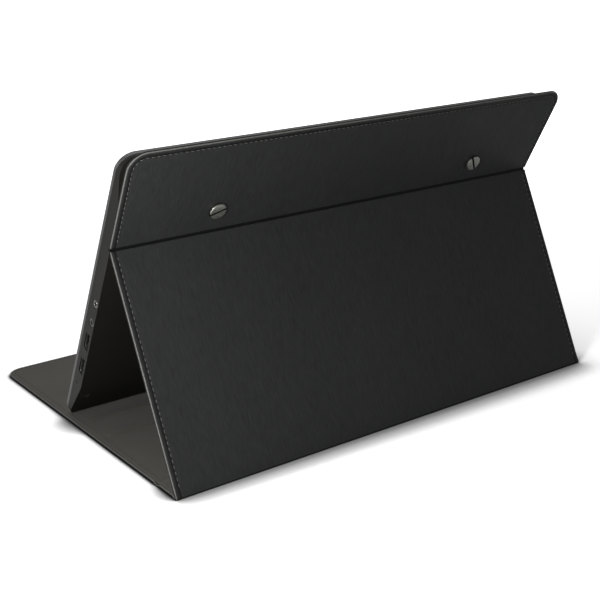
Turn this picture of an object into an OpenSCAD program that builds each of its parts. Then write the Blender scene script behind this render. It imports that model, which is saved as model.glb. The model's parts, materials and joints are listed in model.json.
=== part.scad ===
// Portable 15.6 inch monitor standing in its folding leather cover.
// The cover is one strip of four stiff panels: front, spine, back and flap.
// The flap is screwed to the back of the monitor, whose foot rests on the front panel.
// Origin: middle of the base, on the table. +X towards the sockets, +Z up, screen faces -Y.

/* [Cover] */
// How far the cover stands past the monitor on each side
cover_margin = 2.25; // [1.5:0.05:4]
// How much longer the front panel is than the monitor with its flap
front_margin = 0.9; // [0.5:0.1:4]
// Length of the spine, from the spine fold to the back fold
spine_len = 27; // [24:0.5:32]
// Length of the back panel, from the back fold to the crease
back_len = 168.7; // [162:0.1:176]
// Length of the flap, from the crease to its free edge
flap_len = 77.8; // [70:0.1:86]
// Angle of the back panel above the table
back_angle = 66.1; // [62:0.1:70]
// Radius of the panels' free corners
panel_corner_r = 14; // [8:1:20]
// Thickness of the outer leather
leather_t = 0.9; // [0.7:0.05:1.2]
// Thickness of the stiffener boards
board_t = 1; // [0.8:0.05:1.4]
// Thickness of the soft lining
lining_t = 0.6; // [0.4:0.05:0.8]
// Width of the leather border that is turned round a board
border_w = 5; // [3:0.5:8]
// How far the lining stays inside the leather's free edges
lining_inset = 1.2; // [0.8:0.1:3]
// Gap between the two leathers that meet at a fold
fold_gap = 0.3; // [0.2:0.05:0.5]
// Bare leather beside the spine fold, on each side
spine_fold_set = 3.2; // [2.8:0.1:6]
// Bare leather beside the back fold, on each side
back_fold_set = 4.4; // [4.2:0.1:6]
// Bare leather beside the crease, on each side
crease_set = 2.2; // [1.5:0.1:4]
// Clearance of a board in its pocket
board_gap = 0.2; // [0.1:0.05:0.4]

/* [Stop ridges] */
// Number of ridges that the monitor's foot can stand behind
ridge_count = 3; // [1:1:4]
// Distance from one ridge to the next
ridge_pitch = 31.5; // [25:0.5:36]
// Width of a ridge
ridge_w = 3; // [2:0.5:5]
// Height of a ridge above the lining
ridge_h = 1.6; // [1:0.1:2]
// Distance of a ridge's ends from the cover's side edges
ridge_end = 8; // [5:1:20]
// Gap between the foot and the ridge in front of it
ridge_gap = 0.5; // [0.3:0.1:1]

/* [Monitor] */
// Border of the screen's lit area at each side
side_border = 18.65; // [18:0.05:22]
// Border above the lit area
top_border = 14.5; // [12:0.5:18]
// Border below the lit area
chin = 42.9; // [40:0.1:46]
// Greatest thickness of the monitor
monitor_t = 15; // [14.5:0.1:17]
// How far the flap stands past the monitor's top edge
flap_overhang = 11.5; // [6:0.5:14]
// Corner radius of the monitor's face
monitor_corner_r = 13; // [8:0.5:16]
// Gap between the flap's lining and the housing
seat_gap = 0.3; // [0.2:0.05:0.5]
// Wall of the rear housing
wall = 1.8; // [1.4:0.1:2.2]
// Depth of the front bezel
bezel_t = 2.8; // [2.4:0.1:3.2]
// Thickness of the bezel in front of the panel
bezel_face_t = 1.3; // [1:0.1:1.5]
// Length of the lower bevel on the housing's back
bevel_len = 44.2; // [36:0.1:50]
// Length of the steep heel below that bevel
heel_len = 8.5; // [6:0.5:11]
// How far the bevel has come forward at the heel
bevel_rise = 8.1; // [7:0.1:9]
// How far the heel has come forward at the bottom edge
heel_rise = 11.2; // [10:0.1:11.6]
// Start of the upper taper, above the crease
taper_start = 23; // [23:0.5:26]
// Slope of the upper taper
taper_angle = 15; // [12:0.5:15.5]
// Radius that blends the back into the taper
taper_r = 40; // [25:1:50]

/* [Foot strip] */
// Thickness of the rubber foot strip
foot_t = 1.2; // [1:0.1:1.6]
// Depth of the foot strip, front to back
foot_depth = 5; // [4:0.5:6]
// Distance of the strip's ends from the monitor's sides
foot_end = 25; // [15:1:60]
// Gap between the foot strip and the lining
foot_gap = 0.2; // [0.1:0.05:0.3]

/* [Screen] */
// Width of the lit area
lit_w = 344.2; // [338:0.1:346]
// Height of the lit area
lit_h = 193.6; // [190:0.1:195]
// Side border of the panel module round the lit area
module_side = 3.2; // [2.8:0.1:4]
// Upper and lower border of the panel module round the lit area
module_end = 5.7; // [5:0.1:7]
// Thickness of the glass cell
cell_t = 1.1; // [0.9:0.1:1.3]
// Thickness of the stack of optical films
films_t = 0.3; // [0.2:0.05:0.4]
// Thickness of the light guide
guide_t = 0.6; // [0.5:0.1:0.8]
// Thickness of the reflector sheet
reflector_t = 0.2; // [0.15:0.05:0.3]
// Thickness of the panel's metal chassis
chassis_t = 0.4; // [0.3:0.05:0.5]
// Height of the light strip below the guide
led_h = 1.2; // [1:0.1:1.5]
// Clearance round what lies in the chassis
stack_gap = 0.2; // [0.1:0.05:0.3]

/* [Cover screws] */
// Distance between the two cover screws
screw_span = 238; // [200:1:260]
// Height of the screws above the crease
screw_up = 18.5; // [15:0.5:18.5]
// How far the pair of screws stands off the cover's middle, towards the sockets
screw_shift = -3.9; // [-6:0.1:6]
// Diameter of the slotted heads
screw_head_d = 13; // [12:0.5:15]
// Thickness of the heads
screw_head_t = 1.8; // [1.5:0.1:2.5]
// Diameter of the shanks
screw_d = 5.9; // [5:0.1:6]
// Length of the shanks
screw_len = 9.5; // [8:0.5:10]
// Width of the coin slot
slot_w = 1.6; // [1.2:0.1:2.2]
// Depth of the coin slot
slot_depth = 1.1; // [0.8:0.1:1.3]
// Turn of the slot beside the sockets
slot_turn_near = -18; // [-90:1:90]
// Turn of the other slot
slot_turn_far = 59; // [-90:1:90]
// Diameter of the threaded inserts
insert_d = 9; // [8:0.5:10]
// Length of the threaded inserts
insert_len = 7.5; // [6:0.5:8]
// Outer diameter of the eyelets' flanges
eyelet_flange_d = 12; // [11:0.5:12.5]
// Thickness of the eyelets' flanges
eyelet_flange_t = 0.5; // [0.4:0.1:0.6]
// Outer diameter of the eyelets' sleeves
eyelet_d = 8.6; // [8:0.1:9]
// Bore of the eyelets
eyelet_bore = 6.6; // [6.4:0.1:7]

/* [Sockets] */
// Height of the status light above the monitor's bottom edge
status_up = 44.3; // [43:0.1:46]
// From the status light up to the lower video socket
status_pitch = 19.5; // [16:0.1:24]
// From the lower video socket up to the upper one
video_pitch = 25.8; // [22:0.1:30]
// From the upper video socket up to the headphone socket
audio_pitch = 19.8; // [17:0.1:24]
// From the headphone socket up to the power socket
jack_pitch = 18.4; // [15:0.1:22]
// Width of a video socket's mouth
video_w = 14; // [13.8:0.1:14.2]
// Height of a video socket's mouth
video_h = 4.5; // [4.4:0.05:4.6]
// Wall of a video socket's metal shell
video_shell = 0.45; // [0.3:0.05:0.5]
// Depth of a video socket
video_depth = 11; // [10:0.5:12]
// Diameter of the round sockets' collars
collar_d = 6.2; // [5.8:0.1:6.4]
// Bore of the power socket
power_bore = 4; // [3.8:0.1:4]
// Diameter of the power socket's pin
power_pin = 1.35; // [1.2:0.05:1.6]
// Bore of the headphone socket
audio_bore = 3.6; // [3.55:0.05:3.7]
// Depth of the round sockets' bores
jack_depth = 11; // [9:0.5:12]
// Diameter of the status light's lens
status_d = 3; // [2.5:0.1:3.5]
// Clearance of a socket in the side wall
wall_gap = 0.3; // [0.2:0.05:0.4]

/* [Buttons] */
// Height of the minus button above the monitor's bottom edge
minus_button_up = 92; // [80:1:100]
// From the minus button up to the plus button
plus_pitch = 16; // [14:0.5:22]
// From the plus button up to the power button
power_pitch = 20; // [14:0.5:26]
// Length of a button's face
button_len = 9; // [8:0.5:10]
// Width of a button's face
button_w = 3.6; // [3:0.2:4]
// How far a button stands out of the wall
button_proud = 0.9; // [0.8:0.1:1.2]
// Travel of a button
button_travel = 0.6; // [0.4:0.1:0.7]
// Clearance of a button in its slot
button_gap = 0.2; // [0.15:0.05:0.3]
// Thickness of the flange that keeps a button in
button_flange_t = 0.8; // [0.6:0.1:0.8]

/* [Boards] */
// Thickness of the main circuit board
pcb_t = 1.6; // [1.2:0.1:1.6]
// Length of the main board, across the monitor
pcb_len = 88; // [80:1:100]
// Thickness of the small circuit boards
small_pcb_t = 0.8; // [0.6:0.1:0.8]
// Length of the panel's timing board
timing_len = 180; // [160:5:185]
// Height of the panel's timing board
timing_h = 11; // [9:0.5:11.5]
// Gap between the timing board's end and the main board's
timing_gap = 9; // [6:0.5:12]
// Width of the cable between those two boards
panel_cable_w = 6; // [4:0.5:10]
// Width of the key board's cable
key_cable_w = 5; // [4:0.5:8]
// How far a flat cable lies on a board
cable_lap = 10; // [6:0.5:12]
// Thickness of a flat cable
ribbon_t = 0.3; // [0.2:0.05:0.3]
// Side of the video processor chip
chip_w = 22; // [18:1:26]
// Side of the heat spreader
spreader_w = 40; // [34:1:42]
// Diameter of the small screws' heads
small_head_d = 4.4; // [4:0.1:4.6]
// Diameter of the small screws' shanks
small_screw_d = 2; // [1.8:0.1:2.2]
// Diameter of a screw post
post_d = 7; // [6:0.5:7]

/* [Hidden] */
$fn = 48;
// A cut runs this far past what it cuts
over = 1;

// Cover panels: one thickness, and the height of the leather round a board
monitor_w = lit_w + 2 * side_border;
monitor_h = lit_h + top_border + chin;
cover_w = monitor_w + 2 * cover_margin;
front_len = monitor_h + flap_overhang + front_margin;
panel_t = leather_t + board_t + lining_t;
tray_t = leather_t + board_t;
depth = front_len + spine_len;
front_y = -depth / 2;
spine_y = front_y + front_len;
fold_y = depth / 2;
crease_y = fold_y - back_len * cos(back_angle);
crease_z = back_len * sin(back_angle);
// A fold's bevel keeps the two leathers apart at the tightest angle they reach
spine_bevel = leather_t + 0.1;
back_bevel = leather_t / tan(back_angle / 2) + 0.2;

// Monitor: distances along its face from the crease, and depths from the flap's outer side
top_s = flap_len - flap_overhang;
bottom_s = top_s - monitor_h;
back_d = panel_t + seat_gap;
front_d = back_d + monitor_t;
face_d = front_d - bezel_face_t;
cavity_d = back_d + wall;
seam_d = front_d - bezel_t;
side_x = monitor_w / 2;
inner_x = side_x - wall;
// The monitor leans until its front lower corner stands on the lining
foot_z = panel_t + foot_gap;
corner_reach = norm([bottom_s, front_d]);
corner_turn = atan(front_d / -bottom_s);
lean = acos((crease_z - foot_z) / corner_reach) - corner_turn;
foot_y = crease_y + bottom_s * sin(lean) - front_d * cos(lean);

// Back of the housing
bevel_s = bottom_s + bevel_len;
heel_s = bottom_s + heel_len;
heel_d = back_d + bevel_rise;
base_d = back_d + heel_rise;
taper_end_s = taper_start + taper_r * sin(taper_angle);
taper_end_d = back_d + taper_r * (1 - cos(taper_angle));
top_d = taper_end_d + (top_s - taper_end_s) * tan(taper_angle);
taper_steps = 6;
bevel_slope = bevel_rise / (bevel_len - heel_len);
// The wall below the screen carries the foot strip
bottom_wall = 5;
// Posts stay this far inside the housing's outer side
skin_keep = 0.2;

// Screen stack, counted back from the bezel's face
module_w = lit_w + 2 * module_side;
module_h = lit_h + 2 * module_end;
module_top = top_s - top_border + module_end;
module_s = module_top - module_h;
cell_d = face_d - cell_t;
films_d = cell_d - films_t;
guide_d = films_d - guide_t;
reflector_d = guide_d - reflector_t;
chassis_d = reflector_d - chassis_t;
stack_w = module_w - 2 * (chassis_t + stack_gap);
stack_h = module_h - 2 * (chassis_t + stack_gap);

// Main board: its parts stand on its rear side
pcb_d = cavity_d + 6.1;
pcb_right = inner_x - 2;
pcb_left = pcb_right - pcb_len;
lower_video_up = status_up + status_pitch;
upper_video_up = lower_video_up + video_pitch;
audio_up = upper_video_up + audio_pitch;
power_up = audio_up + jack_pitch;
pcb_below = 7.3;
pcb_above = 11.2;
pcb_low = bottom_s + status_up - pcb_below;
pcb_high = bottom_s + power_up + pcb_above;
video_d = pcb_d - video_shell - video_h / 2 - 0.25;
jack_d = back_d + 4.3;
jack_w = 9;
jack_h = pcb_d - cavity_d - 0.2;
status_d_pos = back_d + 6.8;
chip_t = 1.6;
spreader_t = 2;
chip_x = pcb_left + 34;
chip_s = pcb_low + 62;
timing_right = pcb_left - timing_gap;
cable_turn = 2;
cable_step = 6;

// Screws in the housing and their posts
post_x = side_x - 9;
low_post_up = 29;
mid_post_up = 20;
post_ups = [bottom_s + low_post_up, top_s - 52];
low_post_s = bottom_s + mid_post_up;
pilot_d = small_screw_d - 0.1;
small_hole_d = small_screw_d + 0.2;
small_sink_d = small_head_d + 0.4;
head_sink = 1.2;
low_seat_d = back_d + bevel_slope * (bevel_len - low_post_up) + head_sink;
mid_seat_d = back_d + bevel_slope * (bevel_len - mid_post_up) + head_sink;
housing_screw_end = face_d - 0.1;
small_post_d = 5;
post_root = 0.5;
board_grip = 4;
board_head_t = 0.8;
insert_boss_d = insert_d + 4;
eyelet_hole_d = eyelet_d + 0.1;
bracket_t = 0.8;
bracket_w = 7;
bracket_d = chassis_d - bracket_t;
bracket_tab = 6;
bracket_pilot_d = pilot_d - 0.3;
bracket_grip = 2.5;
bracket_posts = [module_top - 17, module_s + module_h / 2 + 19, module_s + 40];
board_posts = [
  [pcb_left + 6, pcb_low + 14], [pcb_left + 6, pcb_high - 6],
  [pcb_right - 24, pcb_low + 14], [pcb_right - 24, pcb_high - 6]
];

// Buttons sit in the side wall away from the sockets
plus_button_up = minus_button_up + plus_pitch;
power_button_up = plus_button_up + power_pitch;
button_ups = [power_button_up, plus_button_up, minus_button_up];
button_d = back_d + 6.4;
flange_x = -inner_x + button_gap;
stem_x = flange_x + button_flange_t;
stem_len = 1.2;
stem_d = 2.4;
switch_t = 2;
switch_w = 4.5;
switch_x = stem_x + stem_len + button_travel + 0.2;
key_x = switch_x + switch_t;
key_end = 8;
key_low = bottom_s + minus_button_up - key_end;
key_high = bottom_s + power_button_up + key_end;
key_top_d = cavity_d + 8;
rib_t = 1.5;
rib_h = 4;
rib_gap = 0.1;

ridge_first_y = foot_y - ridge_gap - ridge_w;
magnet_d = 10;
magnet_t = board_t;
magnet_xs = [cover_w / 2 - 20, cover_w / 2 - 60];
magnet_y = front_y + border_w + 14;

module on_back() {
  translate([0, fold_y, 0]) rotate([180 - back_angle, 0, 0]) children();
}

module on_monitor() {
  translate([0, crease_y, crease_z]) rotate([90 - lean, 0, 0]) children();
}

// Turns an outline drawn in (height, depth) and draws it out along the width
module across(w, x0) {
  translate([x0, 0, 0]) rotate([90, 0, 90]) linear_extrude(w) children();
}

// What is left of a square corner once it is rounded
module corner_cut(r) {
  difference() {
    translate([-over, -over]) square(r + over);
    translate([r, r]) circle(r);
  }
}

// Rectangle from y = 0, with its near and far corners rounded
module sheet(w, len, near_r, far_r) {
  difference() {
    translate([-w / 2, 0]) square([w, len]);
    if (near_r > 0) {
      translate([-w / 2, 0]) corner_cut(near_r);
      translate([w / 2, 0]) rotate(90) corner_cut(near_r);
    }
    if (far_r > 0) {
      translate([w / 2, len]) rotate(180) corner_cut(far_r);
      translate([-w / 2, len]) rotate(-90) corner_cut(far_r);
    }
  }
}

// Keeps what lies between two distances from the panel's near end
module between(low, high) {
  translate([-cover_w, low, -over]) cube([2 * cover_w, high - low, panel_t + 2 * over]);
}

// Pocket for a board; the bare leather of a fold counts as its border there
module pocket(len, near, far, gap, t) {
  near_edge = near > 0 ? near : border_w;
  far_edge = far > 0 ? far : border_w;
  translate([-cover_w / 2 + border_w + gap, near_edge + gap, 0])
    cube([cover_w - 2 * (border_w + gap), len - near_edge - far_edge - 2 * gap, t]);
}

// Outer leather of a panel: a thin sheet, bevelled at its folds, with raised borders
module panel_skin(len, near_r, far_r, near, far, near_bevel, far_bevel, start) {
  intersection() {
    linear_extrude(leather_t) sheet(cover_w, len, near_r, far_r);
    across(cover_w, -cover_w / 2)
      polygon([[start, 0], [len, 0], [len - far_bevel, leather_t], [start + near_bevel, leather_t]]);
  }
  intersection() {
    difference() {
      linear_extrude(tray_t) sheet(cover_w, len, near_r, far_r);
      translate([0, 0, leather_t]) pocket(len, near, far, 0, board_t + over);
    }
    between(near, len - far);
  }
}

module panel_board(len, near, far) {
  translate([0, 0, leather_t]) pocket(len, near, far, board_gap, board_t);
}

module panel_lining(len, near_r, far_r, near, far) {
  intersection() {
    translate([0, lining_inset, tray_t]) linear_extrude(lining_t)
      sheet(cover_w - 2 * lining_inset, len - 2 * lining_inset,
            max(0, near_r - lining_inset), max(0, far_r - lining_inset));
    between(near, len - far);
  }
}

module screw_spots() {
  for (side = [-1, 1]) translate([screw_shift + side * screw_span / 2, screw_up, 0]) children();
}

module screw_holes(d) {
  screw_spots() translate([0, 0, -over]) cylinder(d = d, h = panel_t + 2 * over);
}

module front_skin() {
  color("#2b2a29") translate([0, front_y, 0])
    panel_skin(front_len, panel_corner_r, 0, 0, spine_fold_set, 0, spine_bevel, 0);
}

module front_board() {
  color("#8a8478") difference() {
    translate([0, front_y, 0]) panel_board(front_len, 0, spine_fold_set);
    magnet_places() cylinder(d = magnet_d + 0.2, h = panel_t);
  }
}

module magnet_places() {
  for (side = [-1, 1], x = magnet_xs) translate([side * x, magnet_y, leather_t]) children();
}

module closure_magnets() {
  color("#9a9a98") magnet_places() cylinder(d = magnet_d, h = magnet_t);
}

module front_lining() {
  color("#4f4d45") translate([0, front_y, 0])
    panel_lining(front_len, panel_corner_r, 0, 0, spine_fold_set);
}

// Each ridge is a bar with a rounded top
module ridge() {
  r = ridge_w / 2;
  intersection() {
    across(cover_w - 2 * ridge_end, -cover_w / 2 + ridge_end) union() {
      translate([r, ridge_h - r]) circle(r);
      square([ridge_w, max(0.01, ridge_h - r)]);
    }
    translate([-cover_w / 2, 0, 0]) cube([cover_w, ridge_w, ridge_h]);
  }
}

module stop_ridges() {
  color("#4a4841") for (i = [0 : ridge_count - 1])
    translate([0, ridge_first_y + i * ridge_pitch, panel_t]) ridge();
}

module spine_skin() {
  color("#2b2a29") translate([0, spine_y, 0])
    panel_skin(spine_len, 0, 0, spine_fold_set, back_fold_set, spine_bevel, back_bevel, fold_gap);
}

module spine_board() {
  color("#8a8478") translate([0, spine_y, 0])
    panel_board(spine_len, spine_fold_set, back_fold_set);
}

module spine_lining() {
  color("#4f4d45") translate([0, spine_y, 0])
    panel_lining(spine_len, 0, 0, spine_fold_set, back_fold_set);
}

module back_skin() {
  color("#2b2a29") on_back()
    panel_skin(back_len, 0, 0, back_fold_set, crease_set, back_bevel, 0, fold_gap);
}

module back_board() {
  color("#8a8478") on_back() panel_board(back_len, back_fold_set, crease_set);
}

module back_lining() {
  color("#4f4d45") on_back() panel_lining(back_len, 0, 0, back_fold_set, crease_set);
}

module flap_skin() {
  color("#2b2a29") on_monitor() difference() {
    panel_skin(flap_len, 0, panel_corner_r, crease_set, 0, 0, 0, fold_gap);
    screw_holes(eyelet_hole_d);
  }
}

module flap_board() {
  color("#8a8478") on_monitor() difference() {
    panel_board(flap_len, crease_set, 0);
    screw_holes(eyelet_hole_d);
  }
}

module flap_lining() {
  color("#4f4d45") on_monitor() difference() {
    panel_lining(flap_len, 0, panel_corner_r, crease_set, 0);
    screw_holes(eyelet_hole_d);
  }
}

module flap_eyelets() {
  color("#6f6e69") on_monitor() screw_spots() difference() {
    union() {
      translate([0, 0, -eyelet_flange_t]) cylinder(d = eyelet_flange_d, h = eyelet_flange_t);
      cylinder(d = eyelet_d, h = panel_t);
    }
    translate([0, 0, -over]) cylinder(d = eyelet_bore, h = panel_t + 2 * over);
  }
}

module slotted_screw(turn) {
  head_d = -eyelet_flange_t - screw_head_t;
  edge = 0.5;
  difference() {
    union() {
      translate([0, 0, head_d + edge]) cylinder(d = screw_head_d, h = screw_head_t - edge);
      translate([0, 0, head_d]) cylinder(d1 = screw_head_d - 2 * edge, d2 = screw_head_d, h = edge);
      translate([0, 0, -eyelet_flange_t]) cylinder(d = screw_d, h = screw_len);
    }
    rotate(turn) translate([-screw_head_d, -slot_w / 2, head_d - over])
      cube([2 * screw_head_d, slot_w, slot_depth + over]);
  }
}

module cover_screws() {
  color("#77776f") on_monitor() {
    translate([screw_shift + screw_span / 2, screw_up, 0]) slotted_screw(slot_turn_near);
    translate([screw_shift - screw_span / 2, screw_up, 0]) slotted_screw(slot_turn_far);
  }
}

module thread_inserts() {
  color("#b08d4a") on_monitor() screw_spots() translate([0, 0, back_d]) difference() {
    cylinder(d = insert_d, h = insert_len);
    translate([0, 0, -over]) cylinder(d = screw_d + 0.1, h = insert_len + 2 * over);
  }
}

// Side view of the rear housing; its inner side lies a wall further in
function rear_outline(inset, end, past) = concat(
  [
    [bottom_s + end, seam_d + past],
    [bottom_s + end, base_d + inset],
    [heel_s, heel_d + inset],
    [bevel_s, back_d + inset]
  ],
  [for (i = [0 : taper_steps]) let (a = taper_angle * i / taper_steps)
    [taper_start + (taper_r - inset) * sin(a), back_d + inset + (taper_r - inset) * (1 - cos(a))]],
  [
    [top_s - inset, top_d + inset / cos(taper_angle)],
    [top_s - inset, seam_d + past]
  ]
);

module face_outline(inset) {
  translate([0, bottom_s + inset])
    sheet(monitor_w - 2 * inset, monitor_h - 2 * inset,
          monitor_corner_r - inset, monitor_corner_r - inset);
}

// All that lies below the top of the foot strip, in the monitor's frame
module below_foot() {
  rotate([lean - 90, 0, 0]) translate([0, -crease_y, -crease_z])
    translate([-cover_w, foot_y - depth / 4, -depth / 4])
      cube([2 * cover_w, depth / 2, depth / 4 + foot_z + foot_t + 0.02]);
}

module side_post(x, s, low, high, d) {
  translate([x, s, low]) cylinder(d = d, h = high - low);
}

module housing_posts(d, low, high) {
  for (side = [-1, 1], s = post_ups) side_post(side * post_x, s, low, high, d);
  side_post(0, low_post_s, low, high, d);
}

// Mouth of a video socket: its two lower corners are cut off
module video_outline(grow) {
  w = video_w / 2 + grow;
  h = video_h / 2 + grow;
  cut = 1.4;
  polygon([[-w, -h], [w, -h], [w, h - cut], [w - cut, h], [cut - w, h], [-w, h - cut]]);
}

module at_video(up) {
  translate([0, bottom_s + up, video_d]) children();
}

module at_jack(up) {
  translate([0, bottom_s + up, jack_d]) rotate([0, 90, 0]) children();
}

// Slot in a side wall with round ends, drawn out along the width
module pill(len, w, h) {
  rotate([90, 0, 90]) linear_extrude(h) union() {
    square([len - w, w], center = true);
    for (end = [-1, 1]) translate([end * (len - w) / 2, 0]) circle(d = w);
  }
}

module side_openings() {
  for (up = [upper_video_up, lower_video_up]) at_video(up)
    across(2 * wall + over, inner_x - wall) video_outline(video_shell + wall_gap);
  for (up = [power_up, audio_up]) at_jack(up)
    translate([0, 0, inner_x - wall]) cylinder(d = collar_d + 2 * wall_gap, h = 3 * wall);
  translate([inner_x - wall, bottom_s + status_up, status_d_pos]) rotate([0, 90, 0])
    cylinder(d = status_d + 0.1, h = 3 * wall);
  for (up = button_ups) translate([-side_x - over, bottom_s + up, button_d])
    pill(button_len + 2 * button_gap, button_w + 2 * button_gap, 2 * wall);
}

// Short ribs that hold the key board on its edge
module key_ribs() {
  for (x = [key_x - rib_t - rib_gap, key_x + small_pcb_t + rib_gap], s = [key_low, key_high - rib_t])
    translate([x, s, cavity_d - post_root]) cube([rib_t, rib_t, rib_h]);
}

module rear_housing() {
  color("#3d3b37") on_monitor() difference() {
    union() {
      difference() {
        intersection() {
          across(monitor_w, -side_x) polygon(rear_outline(0, 0, 0));
          linear_extrude(front_d) face_outline(0);
        }
        intersection() {
          across(monitor_w - 2 * wall, -inner_x) polygon(rear_outline(wall, bottom_wall, over));
          linear_extrude(front_d) face_outline(wall);
        }
      }
      intersection() {
        union() {
          housing_posts(post_d, back_d, seam_d);
          for (p = board_posts) side_post(p[0], p[1], cavity_d - post_root, pcb_d, small_post_d);
          screw_spots() translate([0, 0, back_d + post_root]) cylinder(d = insert_boss_d, h = insert_len);
          key_ribs();
        }
        across(monitor_w, -side_x) polygon(rear_outline(skin_keep, skin_keep, 0));
      }
    }
    housing_posts(small_hole_d, back_d - over, seam_d + over);
    housing_posts(small_sink_d, back_d - over, back_d + head_sink);
    side_post(0, low_post_s, back_d - over, mid_seat_d, small_sink_d);
    for (side = [-1, 1]) side_post(side * post_x, post_ups[0], back_d - over, low_seat_d, small_sink_d);
    for (p = board_posts) side_post(p[0], p[1], cavity_d + post_root, pcb_d + over, pilot_d);
    screw_spots() translate([0, 0, back_d - over]) cylinder(d = insert_d + 0.1, h = insert_len + over);
    side_openings();
    below_foot();
  }
}

module front_bezel() {
  inner_r = monitor_corner_r - wall;
  color("#1c1c1c") on_monitor() difference() {
    union() {
      difference() {
        translate([0, 0, seam_d]) linear_extrude(bezel_t) face_outline(0);
        translate([0, bottom_s + bottom_wall, seam_d - over]) linear_extrude(face_d - seam_d + over)
          sheet(monitor_w - 2 * wall, monitor_h - wall - bottom_wall, inner_r, inner_r);
        translate([-lit_w / 2, top_s - top_border - lit_h, face_d - over])
          cube([lit_w, lit_h, bezel_face_t + 2 * over]);
      }
      housing_posts(post_d, seam_d, face_d + post_root);
      for (side = [-1, 1], s = bracket_posts)
        side_post(side * post_x, s, chassis_d, face_d + post_root, small_post_d);
    }
    housing_posts(pilot_d, seam_d - over, face_d);
    for (side = [-1, 1], s = bracket_posts)
      side_post(side * post_x, s, chassis_d - over, face_d, bracket_pilot_d);
    below_foot();
  }
}

module foot_strip() {
  color("#161616") translate([-side_x + foot_end, foot_y, foot_z])
    cube([monitor_w - 2 * foot_end, foot_depth, foot_t]);
}

module small_screw(head_t, len) {
  translate([0, 0, -head_t]) cylinder(d = small_head_d, h = head_t);
  cylinder(d = pilot_d, h = len);
}

// A small screw whose head sits at a depth in the housing's back
module housing_screw(x, s, seat_d) {
  translate([x, s, seat_d]) small_screw(head_sink - 0.2, housing_screw_end - seat_d);
}

module housing_screws() {
  color("#55544f") on_monitor() {
    for (side = [-1, 1]) {
      housing_screw(side * post_x, post_ups[1], back_d + head_sink);
      housing_screw(side * post_x, post_ups[0], low_seat_d);
    }
    housing_screw(0, low_post_s, mid_seat_d);
  }
}

module stack_sheet(d, t, low) {
  translate([-stack_w / 2, module_top - chassis_t - stack_gap - stack_h + low, d])
    cube([stack_w, stack_h - low, t]);
}

module lcd_cell() {
  color("#0b0c10") on_monitor() stack_sheet(cell_d, cell_t, 0);
}

module optical_films() {
  color("#e8e8e2") on_monitor() stack_sheet(films_d, films_t, 0);
}

module light_guide() {
  color("#dfe6e6") on_monitor() stack_sheet(guide_d, guide_t, led_h + stack_gap);
}

module reflector_sheet() {
  color("#f2f2f0") on_monitor() stack_sheet(reflector_d, reflector_t, 0);
}

module led_strip() {
  color("#e6d9a0") on_monitor()
    translate([-stack_w / 2, module_s + chassis_t + stack_gap, guide_d]) cube([stack_w, led_h, guide_t]);
}

module panel_chassis() {
  color("#a5a6a3") on_monitor() translate([-module_w / 2, module_s, chassis_d]) difference() {
    cube([module_w, module_h, face_d - chassis_d]);
    translate([chassis_t, chassis_t, chassis_t])
      cube([module_w - 2 * chassis_t, module_h - 2 * chassis_t, bezel_t + monitor_t]);
  }
}

module panel_brackets() {
  inner = module_w / 2 - bracket_w;
  reach = post_x + small_post_d / 2 - inner;
  low = bracket_posts[2] - bracket_tab / 2;
  color("#8f908d") on_monitor() for (side = [-1, 1]) difference() {
    union() {
      translate([side > 0 ? inner : -inner - bracket_w, low, bracket_d])
        cube([bracket_w, bracket_posts[0] - bracket_posts[2] + bracket_tab, bracket_t]);
      for (s = bracket_posts) translate([side > 0 ? inner : -inner - reach, s - bracket_tab / 2, bracket_d])
        cube([reach, bracket_tab, bracket_t]);
    }
    for (s = bracket_posts)
      side_post(side * post_x, s, bracket_d - over, chassis_d + over, small_screw_d);
  }
}

module bracket_screws() {
  head_t = 0.7;
  color("#55544f") on_monitor() for (side = [-1, 1], s = bracket_posts)
    translate([side * post_x, s, bracket_d]) {
      translate([0, 0, -head_t]) cylinder(d = small_head_d - 0.6, h = head_t);
      cylinder(d = bracket_pilot_d - 0.1, h = bracket_t + bracket_grip);
    }
}

module timing_board() {
  color("#2c5a38") on_monitor() translate([timing_right - timing_len, module_s, chassis_d - small_pcb_t])
    cube([timing_len, timing_h, small_pcb_t]);
}

// Flat cable from the timing board to the main board, as a ribbon bent in depth
module panel_cable() {
  low = chassis_d - small_pcb_t - ribbon_t;
  face = pcb_d + pcb_t;
  start = timing_right - cable_turn;
  end = pcb_left + cable_turn;
  color("#c9c4b4") on_monitor() translate([0, pcb_low + cable_turn, 0]) rotate([90, 0, 0]) mirror([0, 0, 1])
    linear_extrude(panel_cable_w) polygon([
      [start - cable_lap, low], [start, low], [end, face], [end + cable_lap, face],
      [end + cable_lap, face + ribbon_t], [end, face + ribbon_t], [start, low + ribbon_t],
      [start - cable_lap, low + ribbon_t]
    ]);
}

module main_board() {
  color("#235c3a") on_monitor() difference() {
    translate([pcb_left, pcb_low, pcb_d]) cube([pcb_len, pcb_high - pcb_low, pcb_t]);
    for (p = board_posts) side_post(p[0], p[1], pcb_d - over, pcb_d + pcb_t + over, small_hole_d);
  }
}

module board_screws() {
  color("#55544f") on_monitor() for (p = board_posts) translate([p[0], p[1], pcb_d + pcb_t]) {
    cylinder(d = small_head_d - 0.4, h = board_head_t);
    translate([0, 0, -pcb_t - board_grip]) cylinder(d = pilot_d - 0.2, h = pcb_t + board_grip);
  }
}

module processor_chip() {
  color("#202124") on_monitor() translate([chip_x - chip_w / 2, chip_s - chip_w / 2, pcb_d - chip_t])
    cube([chip_w, chip_w, chip_t]);
}

module heat_spreader() {
  color("#b4b6b4") on_monitor()
    translate([chip_x - spreader_w / 2, chip_s - spreader_w / 2, pcb_d - chip_t - spreader_t])
      cube([spreader_w, spreader_w, spreader_t]);
}

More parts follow.
